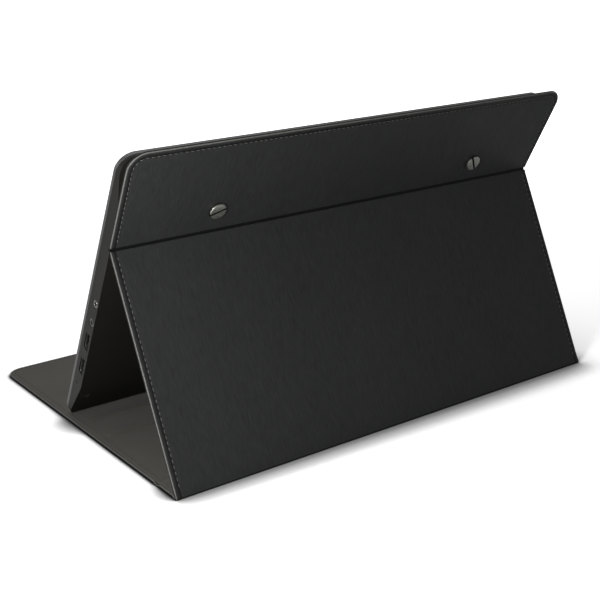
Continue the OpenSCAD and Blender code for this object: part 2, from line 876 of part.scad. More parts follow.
// Video socket: a metal shell with a tongue in the middle of its mouth
module video_socket(up) {
  front_x = side_x - 0.7;
  floor_t = 1;
  tongue = [video_depth - 1.5, video_w - 3.4, 1.1];
  saddle = [video_depth - 3, video_w - 2, pcb_d - video_d - video_h / 2];
  on_monitor() at_video(up) {
    difference() {
      across(video_depth, front_x - video_depth) video_outline(video_shell);
      across(video_depth, front_x - video_depth + floor_t) video_outline(0);
    }
    translate([front_x - video_depth, -tongue[1] / 2, -tongue[2] / 2]) cube(tongue);
    translate([front_x - video_depth, -saddle[1] / 2, video_h / 2]) cube(saddle);
  }
}

module upper_video_socket() {
  color("#8d8c88") video_socket(upper_video_up);
}

module lower_video_socket() {
  color("#8d8c88") video_socket(lower_video_up);
}

// Round socket: a block on the board with a collar that reaches through the wall
module jack(up, bore, pin) {
  face_x = side_x - 0.3;
  block_x = inner_x - 0.4;
  root = 0.5;
  on_monitor() {
    difference() {
      union() {
        translate([block_x - jack_depth, bottom_s + up - jack_w / 2, pcb_d - jack_h])
          cube([jack_depth, jack_w, jack_h]);
        at_jack(up) translate([0, 0, block_x - root]) cylinder(d = collar_d, h = face_x - block_x + root);
      }
      at_jack(up) translate([0, 0, face_x - jack_depth]) cylinder(d = bore, h = jack_depth + over);
    }
    if (pin > 0) at_jack(up) translate([0, 0, face_x - jack_depth - root])
      cylinder(d = pin, h = jack_depth - 2 * root);
  }
}

module power_socket() {
  color("#55524c") jack(power_up, power_bore, power_pin);
}

module headphone_socket() {
  color("#55524c") jack(audio_up, audio_bore, 0);
}

module status_lens() {
  lip = 0.8;
  color("#26272b") on_monitor() translate([0, bottom_s + status_up, status_d_pos]) rotate([0, 90, 0]) {
    translate([0, 0, inner_x - lip]) cylinder(d = status_d + 2 * lip, h = lip);
    translate([0, 0, inner_x]) cylinder(d = status_d, h = wall - 0.1);
  }
}

module key_board() {
  color("#235c3a") on_monitor() translate([key_x, key_low, cavity_d])
    cube([small_pcb_t, key_high - key_low, key_top_d - cavity_d]);
}

module key_switches() {
  color("#1f2022") on_monitor() for (up = button_ups)
    translate([switch_x, bottom_s + up - switch_w / 2, button_d - switch_w / 2])
      cube([switch_t, switch_w, switch_w]);
}

// Flat cable from the key board, along the panel's back, to the main board
module key_cable() {
  back = chassis_d - ribbon_t;
  start = key_x + small_pcb_t;
  start_d = key_top_d - cable_step;
  face = pcb_d + pcb_t;
  end = pcb_left + cable_turn;
  step_x = pcb_left - cable_step;
  // It passes behind the bracket before it steps up to the chassis
  pass_d = bracket_d - 0.1;
  pass_x = -module_w / 2 + bracket_w + 0.5;
  color("#c9c4b4") on_monitor() translate([0, key_low + key_end, 0]) rotate([90, 0, 0]) mirror([0, 0, 1])
    linear_extrude(key_cable_w) polygon([
      [start, start_d], [start + ribbon_t, start_d], [start + ribbon_t, key_top_d - ribbon_t],
      [pass_x, pass_d - ribbon_t], [pass_x + cable_step, back], [step_x, back],
      [end, face], [end + cable_lap, face], [end + cable_lap, face + ribbon_t], [end, face + ribbon_t],
      [step_x, chassis_d], [pass_x + cable_step, chassis_d], [pass_x, pass_d], [start, key_top_d]
    ]);
}

module button(up) {
  root = 0.05;
  lip = 1;
  on_monitor() translate([0, bottom_s + up, button_d]) {
    translate([-side_x - button_proud, 0, 0])
      pill(button_len, button_w, wall + button_proud + button_gap + root);
    translate([flange_x, 0, 0]) pill(button_len + 2 * lip, button_w + 2 * lip, button_flange_t);
    translate([stem_x - root, 0, 0]) rotate([0, 90, 0]) cylinder(d = stem_d, h = stem_len + root);
  }
}

module power_button() {
  color("#2a2a2a") button(power_button_up);
}

module plus_button() {
  color("#2a2a2a") button(plus_button_up);
}

module minus_button() {
  color("#2a2a2a") button(minus_button_up);
}

front_skin();
front_board();
front_lining();
stop_ridges();
closure_magnets();
spine_skin();
spine_board();
spine_lining();
back_skin();
back_board();
back_lining();
flap_skin();
flap_board();
flap_lining();
flap_eyelets();
cover_screws();
rear_housing();
thread_inserts();
front_bezel();
foot_strip();
housing_screws();
lcd_cell();
optical_films();
light_guide();
reflector_sheet();
led_strip();
panel_chassis();
panel_brackets();
bracket_screws();
timing_board();
panel_cable();
main_board();
processor_chip();
heat_spreader();
board_screws();
upper_video_socket();
lower_video_socket();
power_socket();
headphone_socket();
status_lens();
key_board();
key_switches();
key_cable();
power_button();
plus_button();
minus_button();
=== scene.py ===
"""Portable monitor standing in its folding leather cover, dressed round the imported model."""
import json
import math

import bmesh
import bpy
import numpy as np
from bpy.props import FloatProperty, FloatVectorProperty, IntProperty, PointerProperty
from mathutils import Matrix, Vector


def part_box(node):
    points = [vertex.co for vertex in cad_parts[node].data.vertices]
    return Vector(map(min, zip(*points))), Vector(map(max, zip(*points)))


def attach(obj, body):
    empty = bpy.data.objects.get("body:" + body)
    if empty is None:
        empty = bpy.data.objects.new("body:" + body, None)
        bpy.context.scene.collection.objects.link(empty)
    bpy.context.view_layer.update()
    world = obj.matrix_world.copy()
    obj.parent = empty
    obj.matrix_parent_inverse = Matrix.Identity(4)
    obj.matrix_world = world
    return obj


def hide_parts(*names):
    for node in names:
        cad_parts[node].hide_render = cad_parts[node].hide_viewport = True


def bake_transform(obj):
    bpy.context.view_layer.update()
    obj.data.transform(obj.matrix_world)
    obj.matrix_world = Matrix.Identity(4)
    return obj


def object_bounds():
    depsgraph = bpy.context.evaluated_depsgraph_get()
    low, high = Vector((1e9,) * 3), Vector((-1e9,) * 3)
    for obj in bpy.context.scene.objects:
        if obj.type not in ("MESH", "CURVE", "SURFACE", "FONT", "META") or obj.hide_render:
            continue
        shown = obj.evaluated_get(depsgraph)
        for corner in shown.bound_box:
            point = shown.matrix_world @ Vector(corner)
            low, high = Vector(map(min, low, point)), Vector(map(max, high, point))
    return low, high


bl_info = {
    "name": "Portable monitor with cover",
    "version": (1, 0, 0),
    "blender": (4, 5, 0),
    "location": "View3D > Sidebar > Monitor",
    "description": "Leather cover, lining, stitching, housing, sockets and studio for the monitor",
    "category": "Object",
}

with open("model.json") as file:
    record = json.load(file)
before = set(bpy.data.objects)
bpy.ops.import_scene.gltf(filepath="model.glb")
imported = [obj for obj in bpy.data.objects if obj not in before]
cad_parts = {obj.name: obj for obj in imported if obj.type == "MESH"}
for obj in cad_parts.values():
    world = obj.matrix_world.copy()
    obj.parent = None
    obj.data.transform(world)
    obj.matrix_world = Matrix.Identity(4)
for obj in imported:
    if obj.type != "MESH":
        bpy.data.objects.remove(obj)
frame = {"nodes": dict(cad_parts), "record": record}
CAD_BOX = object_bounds()

MM = 0.001
JOINTS = {j["name"]: j for j in frame["record"]["behaviour"]["joints"]}
SLOTS = {s["node"]: s["material_slot"] for s in frame["record"]["subparts"]}
MOUNTS = {m["name"]: np.array(m["pos_m"], float) for m in frame["record"]["mounts"]}


def joint_place(name):
    """Place of a fold's axis in the side view, (y, z) in metres."""
    return np.array(JOINTS[name]["pos_m"][1:], float)


SPINE_FOLD = joint_place("spine_fold")
BACK_FOLD = joint_place("back_fold")
CREASE = joint_place("crease_fold")
FRONT_EDGE = np.array([CAD_BOX[0].y, 0.0])


def unit(v):
    """v made one long."""
    return v / np.linalg.norm(v)


def left_of(way):
    """The direction a quarter turn to the left, in the side view."""
    return np.array([-way[1], way[0]])


# Directions in the side view: along the floor to the back, up the back panel, up the monitor,
# and into the monitor's back
FLOOR_WAY = np.array([1.0, 0.0])
BACK_UP = unit(CREASE - BACK_FOLD)
FLAP_UP = unit((MOUNTS["upper_video_mouth"] - MOUNTS["lower_video_mouth"])[1:])
INTO_MONITOR = left_of(FLAP_UP)

# Gap between the leather's inner side and the lining's, where the lining is seen
LINING_LIFT = 0.3 * MM
# Overlap of the leathers and of the linings past the spine fold, and the crease's own leather
LEATHER_OVERLAP = 4 * MM
LINING_OVERLAP = 3 * MM
CREASE_START = 3.6 * MM
LINING_CREASE_GAP = 2.4 * MM
# Depth of the screws' slot floors from the flap's outer side
SLOT_FLOOR = -1.2 * MM
# Corners of a box, numbered from 0 to 7, that make its six sides
BOX_FACES = np.array(
    [(0, 1, 3, 2), (4, 6, 7, 5), (0, 4, 5, 1), (2, 3, 7, 6), (0, 2, 6, 4), (1, 5, 7, 3)])


def length_setting(name, description, millimetres):
    """A length that a user can set."""
    return FloatProperty(name=name, description=description, default=millimetres * MM,
                         unit="LENGTH", precision=5)


def colour_setting(name, description, default):
    """A colour that a user can set."""
    return FloatVectorProperty(name=name, description=description, default=default,
                               subtype="COLOR", size=3, min=0, max=1)


class CoverSizes(bpy.types.PropertyGroup):
    """Sizes and colours of the leather cover that a user would change."""
    edge_thickness: length_setting("Edge thickness", "Leather and board together, at an edge", 2.2)
    lining_thickness: length_setting("Lining thickness", "Thickness of the soft lining", 0.6)
    corner_radius: length_setting("Corner radius", "Radius of the panels' free corners", 14.0)
    stitch_inset: length_setting("Stitch inset", "Distance of the stitches from the edge", 4.6)
    lining_inset: length_setting("Lining inset", "How far the lining stays inside the leather", 1.3)
    stitch_pitch: length_setting("Stitch pitch", "From one stitch to the next", 4.0)
    leather_colour: colour_setting("Leather", "Colour of the leather", (0.0093, 0.0097, 0.0095))
    lining_colour: colour_setting("Lining", "Colour of the lining", (0.029, 0.0274, 0.0236))
    curve_steps: IntProperty(
        name="Curve steps", description="Steps in a rounded fold", default=10, min=4)


class MonitorLooks(bpy.types.PropertyGroup):
    """Finishes of the monitor that a user would change."""
    edge_softening: length_setting("Edge softening", "Width of the rounding on moulded edges", 0.35)
    housing_colour: colour_setting("Housing", "Colour of the rear housing", (0.0050, 0.0048, 0.0041))
    bezel_colour: colour_setting("Bezel", "Colour of the front bezel", (0.012, 0.012, 0.012))
    screw_colour: colour_setting("Screws", "Colour of the cover screws", (0.17, 0.17, 0.155))


class StudioSetup(bpy.types.PropertyGroup):
    """Light levels."""
    key_power: FloatProperty(
        name="Key light", description="Power of the key light", default=7.0, unit="POWER")
    world_level: FloatProperty(
        name="World level", description="Plain light from all round", default=0.35, min=0)
    floor_lift: FloatProperty(
        name="Floor lift", description="White that the camera sees on top of the lit floor",
        default=0.24, min=0)


def cover():
    """The cover's settings."""
    return bpy.context.scene.cover_sizes


def looks():
    """The monitor's settings."""
    return bpy.context.scene.monitor_looks


def studio():
    """The studio's settings."""
    return bpy.context.scene.studio_setup


# Nodes and materials


def add_node(tree, kind, place=(0, 0), **settings):
    """Adds a shader node and sets its properties."""
    node = tree.nodes.new(kind)
    node.location = place
    for name, value in settings.items():
        setattr(node, name, value)
    return node


def join(tree, start, end):
    """Links an output to an input."""
    tree.links.new(start, end)


def new_group(name, numbers, outputs):
    """A shader node group with a Vector input, number inputs with defaults, and outputs."""
    tree = bpy.data.node_groups.new(name, "ShaderNodeTree")
    tree.interface.new_socket("Vector", in_out="INPUT", socket_type="NodeSocketVector")
    for label, value in numbers.items():
        socket = tree.interface.new_socket(label, in_out="INPUT", socket_type="NodeSocketFloat")
        socket.default_value = value
    for label in outputs:
        tree.interface.new_socket(label, in_out="OUTPUT", socket_type="NodeSocketFloat")
    start = add_node(tree, "NodeGroupInput", (-900, 0))
    end = add_node(tree, "NodeGroupOutput", (700, 0))
    return tree, start.outputs, end.inputs


def feed(tree, socket, value):
    """Gives an input a number, or links an output to it."""
    if isinstance(value, (int, float)):
        socket.default_value = value
    else:
        join(tree, value, socket)


def math_node(tree, operation, first, second):
    """A Math node fed by sockets or numbers."""
    node = add_node(tree, "ShaderNodeMath", operation=operation)
    feed(tree, node.inputs[0], first)
    feed(tree, node.inputs[1], second)
    return node.outputs[0]


def weighed(tree, first, first_share, second, second_share):
    """The sum of two values, each times its share."""
    return math_node(tree, "ADD", math_node(tree, "MULTIPLY", first, first_share),
                     math_node(tree, "MULTIPLY", second, second_share))


def stretched(tree, vector, scale):
    """A vector times a fixed scale on each axis."""
    node = add_node(tree, "ShaderNodeVectorMath", operation="MULTIPLY")
    join(tree, vector, node.inputs[0])
    node.inputs[1].default_value = scale
    return node.outputs[0]


def noise(tree, vector, scale, detail=3.0, roughness=0.55):
    """A noise texture's value."""
    node = add_node(tree, "ShaderNodeTexNoise")
    join(tree, vector, node.inputs["Vector"])
    for label, value in (("Scale", scale), ("Detail", detail), ("Roughness", roughness)):
        feed(tree, node.inputs[label], value)
    return node.outputs[0]


def sharpened(tree, value, low, high):
    """A value stretched so that low becomes 0 and high 1, and cut off beyond."""
    node = add_node(tree, "ShaderNodeMapRange", clamp=True)
    join(tree, value, node.inputs["Value"])
    node.inputs["From Min"].default_value = low
    node.inputs["From Max"].default_value = high
    return node.outputs["Result"]


def make_wear_and_highlight_group():
    """Where an edge is scuffed, and where light catches it as a painted highlight: the piece's own
    mask times the amount and 0.4 + 0.9 noise.
    """
    tree, given, made = new_group(
        "edge_wear", {"Mask": 0.0, "Amount": 1.0, "Scale": 700.0}, ["Wear"])
    patchy = noise(tree, given["Vector"], given["Scale"], 3.0, 0.6)
    share = math_node(tree, "ADD", math_node(tree, "MULTIPLY", patchy, 0.9), 0.4)
    masked = math_node(tree, "MULTIPLY", share, given["Mask"])
    join(tree, math_node(tree, "MULTIPLY", masked, given["Amount"]), made["Wear"])
    return tree


def make_grain_group():
    """Leather grain: long fine streaks up the panel, mixed with small soft pebbles.

    The tone is 0.7 of the streaks and 0.3 of a broad noise."""
    tree, given, made = new_group(
        "leather_grain", {"Streak Scale": 1400.0, "Pebble Scale": 1500.0, "Streak Share": 0.6},
        ["Height", "Tone"])
    along = stretched(tree, given["Vector"], (1.0, 0.09, 0.09))
    streak = sharpened(tree, noise(tree, along, given["Streak Scale"], 3.0, 0.6), 0.28, 0.72)
    cell = add_node(tree, "ShaderNodeTexVoronoi", feature="SMOOTH_F1")
    join(tree, given["Vector"], cell.inputs["Vector"])
    join(tree, given["Pebble Scale"], cell.inputs["Scale"])
    mix = add_node(tree, "ShaderNodeMix", data_type="FLOAT")
    join(tree, given["Streak Share"], mix.inputs[0])
    join(tree, cell.outputs["Distance"], mix.inputs[2])
    join(tree, streak, mix.inputs[3])
    join(tree, mix.outputs[0], made["Height"])
    broad = noise(tree, stretched(tree, given["Vector"], (1.0, 0.4, 0.4)), 22.0, 2.0)
    join(tree, weighed(tree, streak, 0.7, broad, 0.3), made["Tone"])
    return tree


def make_nap_group():
    """Brushed cloth: short fibres, and broad patches where the nap lies another way.

    The tone is half of each."""
    tree, given, made = new_group(
        "cloth_nap", {"Fibre Scale": 2600.0, "Patch Scale": 18.0}, ["Height", "Tone"])
    slant = stretched(tree, given["Vector"], (1.0, 0.35, 0.35))
    fibre = noise(tree, slant, given["Fibre Scale"], 4.0, 0.7)
    patch = noise(tree, given["Vector"], given["Patch Scale"], 4.0, 0.6)
    join(tree, fibre, made["Height"])
    join(tree, weighed(tree, fibre, 0.5, patch, 0.5), made["Tone"])
    return tree


def make_mould_group():
    """Moulded plastic: an even fine spark texture and a faint cloud of handling marks.

    The tone is 0.3 of the spark and 0.7 of the cloud."""
    tree, given, made = new_group("mould_texture", {"Scale": 3200.0}, ["Height", "Tone"])
    spark = noise(tree, given["Vector"], given["Scale"], 2.0, 0.5)
    cloud = noise(tree, given["Vector"], 30.0, 3.0, 0.5)
    join(tree, spark, made["Height"])
    join(tree, weighed(tree, spark, 0.3, cloud, 0.7), made["Tone"])
    return tree


def make_brush_group():
    """Brushed metal: scratches drawn out along one direction."""
    tree, given, made = new_group("brush_marks", {"Scale": 5000.0}, ["Height", "Tone"])
    along = stretched(tree, given["Vector"], (0.05, 1.0, 1.0))
    line = noise(tree, along, given["Scale"], 3.0, 0.6)
    join(tree, line, made["Height"])
    join(tree, line, made["Tone"])
    return tree


GROUP_MAKERS = {
    "leather_grain": make_grain_group,
    "cloth_nap": make_nap_group,
    "mould_texture": make_mould_group,
    "brush_marks": make_brush_group,
    "edge_wear": make_wear_and_highlight_group,
}


def surface_group(name):
    """The shared group of that name, made at its first use."""
    return bpy.data.node_groups.get(name) or GROUP_MAKERS[name]()


# Near black painted as shade in sunken places, and on the leather's dark seam line
SHADE_AND_SEAM_COLOUR = (0.0015, 0.0015, 0.0015)


def finish_material(name, colours, roughness, group, bump, plain=None, worn_and_lit=None):
    """A Principled material whose colour, roughness and bump come from a shared group.

    colours and roughness give the values at the group's low and high tone, bump the depth in
    metres, plain the shader's fixed sockets, and the last pair the colour of scuffed edges and how
    much of it shows; that colour is partly real scuffing and partly a painted highlight. Such
    materials also take painted shade, near black, in sunken places, and a dark line on the leather's
    seam."""
    material = bpy.data.materials.new(name)
    material.use_nodes = True
    tree = material.node_tree
    shader = tree.nodes["Principled BSDF"]
    place = add_node(tree, "ShaderNodeTexCoord", (-900, 0))
    detail = add_node(tree, "ShaderNodeGroup", (-650, 0), node_tree=surface_group(group))
    join(tree, place.outputs["Object"], detail.inputs["Vector"])
    tint = add_node(tree, "ShaderNodeMix", (-380, 150), data_type="RGBA")
    join(tree, detail.outputs["Tone"], tint.inputs[0])
    tint.inputs[6].default_value = (*colours[0], 1)
    tint.inputs[7].default_value = (*colours[1], 1)
    colour = tint.outputs[2]
    if worn_and_lit:
        # Lighter edge colour: partly real scuffing, partly a painted highlight where light catches
        # the rim
        mask = add_node(tree, "ShaderNodeAttribute", (-900, 400), attribute_name="wear")
        wear = add_node(tree, "ShaderNodeGroup", (-650, 400), node_tree=surface_group("edge_wear"))
        join(tree, place.outputs["Object"], wear.inputs["Vector"])
        join(tree, mask.outputs["Fac"], wear.inputs["Mask"])
        wear.inputs["Amount"].default_value = worn_and_lit[1]
        rubbed_and_lit = add_node(tree, "ShaderNodeMix", (-180, 300), data_type="RGBA", clamp_factor=True)
        join(tree, wear.outputs["Wear"], rubbed_and_lit.inputs[0])
        join(tree, colour, rubbed_and_lit.inputs[6])
        rubbed_and_lit.inputs[7].default_value = (*worn_and_lit[0], 1)
        # Painted shade: near black where the piece's mask marks a sunken place, and a dark seam line
        # on the leather
        shade_and_seam_input = add_node(tree, "ShaderNodeAttribute", (-400, 500), attribute_name="recess")
        deep = add_node(tree, "ShaderNodeMix", (-20, 300), data_type="RGBA", clamp_factor=True)
        join(tree, shade_and_seam_input.outputs["Fac"], deep.inputs[0])
        join(tree, rubbed_and_lit.outputs[2], deep.inputs[6])
        deep.inputs[7].default_value = (*SHADE_AND_SEAM_COLOUR, 1)
        colour = deep.outputs[2]
    join(tree, colour, shader.inputs["Base Color"])
    rough = add_node(tree, "ShaderNodeMapRange", (-380, -50))
    join(tree, detail.outputs["Tone"], rough.inputs["Value"])
    rough.inputs["To Min"].default_value = roughness[0]
    rough.inputs["To Max"].default_value = roughness[1]
    join(tree, rough.outputs["Result"], shader.inputs["Roughness"])
    relief = add_node(tree, "ShaderNodeBump", (-380, -300))
    relief.inputs["Strength"].default_value = 1.0
    relief.inputs["Distance"].default_value = bump
    join(tree, detail.outputs["Height"], relief.inputs["Height"])
    join(tree, relief.outputs["Normal"], shader.inputs["Normal"])
    for label, value in (plain or {}).items():
        shader.inputs[label].default_value = value
    return material


def shade(colour, factor):
    """A colour made lighter or darker."""
    return tuple(min(1.0, c * factor) for c in colour)


def tones(tint, low, high):
    """A colour at a group's low and high tone."""
    return shade(tint, low), shade(tint, high)


def plastic(tint, roughness, bump=0.00001):
    """Finish of a moulded plastic of one colour."""
    return dict(colours=tones(tint, 0.85, 1.15), roughness=(roughness, roughness * 0.85),
                group="mould_texture", bump=bump)


def metal(tint, roughness):
    """Finish of a brushed metal of one colour, with painted shade in its sunken places."""
    return dict(colours=tones(tint, 0.8, 1.15), roughness=(roughness, roughness * 0.75),
                group="brush_marks", bump=0.000006, plain={"Metallic": 1.0},
                worn_and_lit=(shade(tint, 1.3), 0.5))


def thread_finish(colours, roughness, specular):
    """Finish of a twisted thread."""
    return dict(colours=colours, roughness=roughness, group="brush_marks", bump=0.00003,
                plain={"Specular IOR Level": specular})


def finishes():
    """What each material slot of the record, and each thread, is made of."""
    lining = tuple(cover().lining_colour)
    # The leather's lighter rim colour is partly real scuffing and partly a painted highlight
    leather = dict(
        colours=tones(tuple(cover().leather_colour), 0.62, 1.45), roughness=(0.52, 0.40),
        group="leather_grain", bump=0.00004, plain={"Specular IOR Level": 0.06},
        worn_and_lit=((0.15, 0.15, 0.138), 0.5))
    cloth = dict(
        colours=tones(lining, 0.62, 1.35), roughness=(0.95, 0.85), group="cloth_nap",
        bump=0.00012,
        plain={"Specular IOR Level": 0.08, "Sheen Weight": 0.05, "Sheen Roughness": 0.5})
    housing = dict(
        colours=tones(tuple(looks().housing_colour), 0.85, 1.15), roughness=(0.5, 0.42),
        group="mould_texture", bump=0.00002, plain={"Specular IOR Level": 0.06})
    bezel = dict(
        colours=tones(tuple(looks().bezel_colour), 0.8, 1.2), roughness=(0.5, 0.4),
        group="mould_texture", bump=0.00002, plain={"Specular IOR Level": 0.4})
    # The dark screen behind its glass, switched off
    glass = dict(
        colours=((0.004, 0.0045, 0.006), (0.006, 0.0065, 0.008)), roughness=(0.2, 0.16),
        group="mould_texture", bump=0.0000015,
        plain={"Specular IOR Level": 0.3, "Coat Weight": 0.1, "Coat Roughness": 0.12})
    # Smoked plastic of the status light, nearly black
    lens = dict(
        colours=((0.001, 0.001, 0.001), (0.003, 0.003, 0.003)), roughness=(0.5, 0.4),
        group="mould_texture", bump=0.00001, plain={"Specular IOR Level": 0.05})
    return {
        "cover_leather": leather,
        "cover_lining": cloth,
        "stand_ridge": cloth,
        "sewing_thread": thread_finish(
            ((0.010, 0.010, 0.0095), (0.035, 0.035, 0.032)), (0.7, 0.5), 0.3),
        "lining_thread": thread_finish(tones(lining, 0.64, 0.88), (0.8, 0.7), 0.15),
        "stiffener_board": plastic((0.3, 0.28, 0.25), 0.9, 0.00005),
        "magnet_metal": metal((0.6, 0.6, 0.59), 0.3),
        "screw_metal": metal(tuple(looks().screw_colour), 0.42),
        "insert_brass": metal((0.62, 0.45, 0.2), 0.3),
        "housing_plastic": housing,
        "bezel_plastic": bezel,
        "foot_rubber": plastic((0.01, 0.01, 0.01), 0.85, 0.00003),
        "screen_glass": glass,
        "film_white": plastic((0.8, 0.8, 0.79), 0.35),
        "chassis_metal": metal((0.6, 0.6, 0.6), 0.35),
        "circuit_board": plastic((0.02, 0.11, 0.05), 0.4),
        "chip_plastic": plastic((0.012, 0.012, 0.013), 0.5),
        "flat_cable": plastic((0.55, 0.5, 0.42), 0.4),
        "socket_metal": metal((0.2, 0.2, 0.195), 0.35),
        "socket_plastic": plastic((0.012, 0.012, 0.012), 0.4),
        "lens_plastic": lens,
        "button_plastic": plastic((0.016, 0.016, 0.016), 0.45),
    }


def named_material(name, finish):
    """The material of that name, made from a finish at its first use."""
    return bpy.data.materials.get(name) or finish_material(name, **finishes()[finish])


def slot_material(slot):
    """The material of a record slot."""
    return named_material("slot_" + slot, slot)


def thread_material(outward):
    """The thread's material on the leather's or the lining's side."""
    name = "sewing_thread" if outward else "lining_thread"
    return named_material(name, name)


# Meshes


def put(name, data):
    """A new object in the scene, at the origin."""
    thing = bpy.data.objects.new(name, data)
    bpy.context.scene.collection.objects.link(thing)
    return thing


def new_piece(name, vertices, faces, body, slot, material=None, smooth_angle=35, masks=None):
    """A mesh object in the frame's own coordinates, cleaned and smoothed, riding on a body when one
    is given.
    """
    mesh = bpy.data.meshes.new(name)
    mesh.from_pydata(np.asarray(vertices).tolist(), [], np.asarray(faces).tolist())
    for label, values in (masks or {}).items():
        mask = mesh.attributes.new(label, "FLOAT", "POINT")
        mask.data.foreach_set("value", np.ascontiguousarray(values, dtype=np.float32).ravel())
    shape = bmesh.new()
    shape.from_mesh(mesh)
    bmesh.ops.remove_doubles(shape, verts=shape.verts, dist=1e-6)
    bmesh.ops.dissolve_degenerate(shape, edges=shape.edges, dist=1e-7)
    bmesh.ops.recalc_face_normals(shape, faces=shape.faces)
    shape.to_mesh(mesh)
    shape.free()
    mesh.shade_smooth()
    mesh.set_sharp_from_angle(angle=math.radians(smooth_angle))
    piece = put(name, mesh)
    mesh.materials.append(material or slot_material(slot))
    if body:
        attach(piece, body)
    return piece


def grid_faces(rows, columns, first=0, flip=False):
    """Quads of a grid whose points run row by row."""
    i = np.arange(rows - 1)[:, None] * columns
    j = np.arange(columns - 1)[None, :]
    a = (first + i + j).ravel()
    quads = np.stack([a, a + 1, a + columns + 1, a + columns], axis=1)
    return quads[:, ::-1] if flip else quads


def ring_faces(rings, count, closed=False):
    """Quads between rings of points; closed joins the last ring to the first."""
    ring = np.arange(rings if closed else rings - 1)[:, None]
    i, n = ring * count, (ring + 1) % rings * count
    j = np.arange(count)[None]
    k = (j + 1) % count
    return np.stack([i + j, i + k, n + k, n + j], axis=2).reshape(-1, 4)


def closed_sheet(outer, inner):
    """Faces that close two equal grids of points into one solid sheet.

    The outer grid keeps its order, the inner one is turned over, and four strips join their rims."""
    rows, columns = outer.shape[:2]
    count = rows * columns
    points = np.concatenate([outer.reshape(-1, 3), inner.reshape(-1, 3)])
    faces = [grid_faces(rows, columns), grid_faces(rows, columns, count, True)]
    index = np.arange(count).reshape(rows, columns)
    rims = (index[0], index[-1][::-1], index[:, 0][::-1], index[:, -1])
    for rim in rims:
        faces.append(np.stack([rim[:-1], rim[:-1] + count, rim[1:] + count, rim[1:]], axis=1))
    return points, np.concatenate(faces)


def spun(arm, angle):
    """An arm in the side view turned by each angle: its own share times the cosine, and the share
    of the arm a quarter turn on times the sine."""
    return np.cos(angle)[:, None] * arm + np.sin(angle)[:, None] * left_of(arm)


def bent_line(points, radii, step, arc_steps):
    """A line in the side view with its corners rounded: places and directions.

    Each corner is an arc that touches both straights, at the tangent length r tan(turn / 2)."""
    places, ways = [], []
    start = points[0]
    for k in range(1, len(points)):
        way = unit(points[k] - points[k - 1])
        last = k == len(points) - 1
        if last:
            stop = points[k]
        else:
            onward = unit(points[k + 1] - points[k])
            turn = math.acos(float(np.clip(way @ onward, -1, 1)))
            tangent = radii[k - 1] * math.tan(turn / 2)
            stop = points[k] - way * tangent
        count = max(2, int(np.linalg.norm(stop - start) / step) + 1)
        share = np.linspace(0, 1, count)[:, None]
        places.append(start + (stop - start) * share)
        ways.append(np.repeat(way[None], count, axis=0))
        if not last:
            side = np.sign(way[0] * onward[1] - way[1] * onward[0])
            centre = stop + left_of(way) * side * radii[k - 1]
            angle = np.linspace(0, turn, arc_steps + 2)[1:-1] * side
            places.append(centre + spun(stop - centre, angle))
            ways.append(spun(way, angle))
            start = points[k] + onward * tangent
    return np.concatenate(places), np.concatenate(ways)


def running_length(places):
    """Distance along a line at each of its points."""
    steps = np.linalg.norm(np.diff(places, axis=0), axis=1)
    return np.concatenate([[0.0], np.cumsum(steps)])


# Distances from an edge, close together where it is rounded and where it is stitched
EDGE_MARKS = np.array([0, 0.06, 0.18, 0.36, 0.6, 0.85, 1.1, 1.6, 2.2, 2.8, 3.3, 3.8, 4.2, 4.6,
                       5.0, 5.4, 6.0, 7.0, 9, 12]) * MM
# Distances from a fold, close together where it bends
FOLD_MARKS = np.array([0, 0.35, 0.7, 0.95, 1.2, 1.5, 1.8, 2.2, 2.7, 3.3, 4, 4.8, 5.6, 7]) * MM
# Steps of a panel's grid where it is flat, along it and across it
LONG_STEP = 9 * MM
CROSS_STEP = 12 * MM


def across_marks(half_width):
    """Places across a panel from one side edge to the other, as distances from its middle."""
    near = half_width - EDGE_MARKS
    inside = np.linspace(0, near[-1], max(2, int(near[-1] / CROSS_STEP)))[:-1]
    right = np.concatenate([inside, near[::-1]])
    return np.concatenate([-right[::-1][:-1], right])


def corner_half_width(half_width, radius, end_distance):
    """Half width of a panel near a free end whose corners are rounded with that radius."""
    e = np.clip(end_distance, 0, radius)
    return half_width - radius + np.sqrt(np.maximum(radius ** 2 - (radius - e) ** 2, 0))


def edge_distance(x, half_width, end_distance, radius):
    """Distance of a point from the rim of a panel with one rounded free end."""
    side = half_width - np.abs(x)
    qx = radius - side
    qe = radius - end_distance
    corner = radius - np.hypot(np.maximum(qx, 0), np.maximum(qe, 0))
    return np.where((qx > 0) & (qe > 0), corner, np.minimum(side, end_distance))


def round_over(distance, radius):
    """How far a rounded rim has fallen away at a distance from the edge, as a share of 1."""
    d = np.clip(distance / radius, 0, 1)
    return 1 - np.sqrt(np.maximum(1 - (1 - d) ** 2, 0))


def smooth_step(value, low, high):
    """0 below low, 1 above high, and a smooth rise between."""
    t = np.clip((value - low) / (high - low), 0, 1)
    return t * t * (3 - 2 * t)


def bell(value, middle, spread):
    """1 at the middle, and exp(-u^2) beside it, where u is the distance in spreads."""
    return np.exp(-((value - middle) / spread) ** 2)


def along_line(where, length, values):
    """Values of a line's points at given distances along it, on straight lines between them."""
    return np.stack([np.interp(where, length, values[:, k]) for k in (0, 1)], axis=1)


def denser(places, ways, extra):
    """Adds points to a line at given distances along it, and keeps its two ends."""
    length = running_length(places)
    extra = extra[(extra > 0) & (extra < length[-1])]
    where = np.unique(np.concatenate([length, extra]))
    where = where[np.concatenate([[True], np.diff(where) > 1e-7])]
    where[-1] = length[-1]
    fresh = along_line(where, length, ways)
    return along_line(where, length, places), fresh / np.linalg.norm(fresh, axis=1)[:, None]


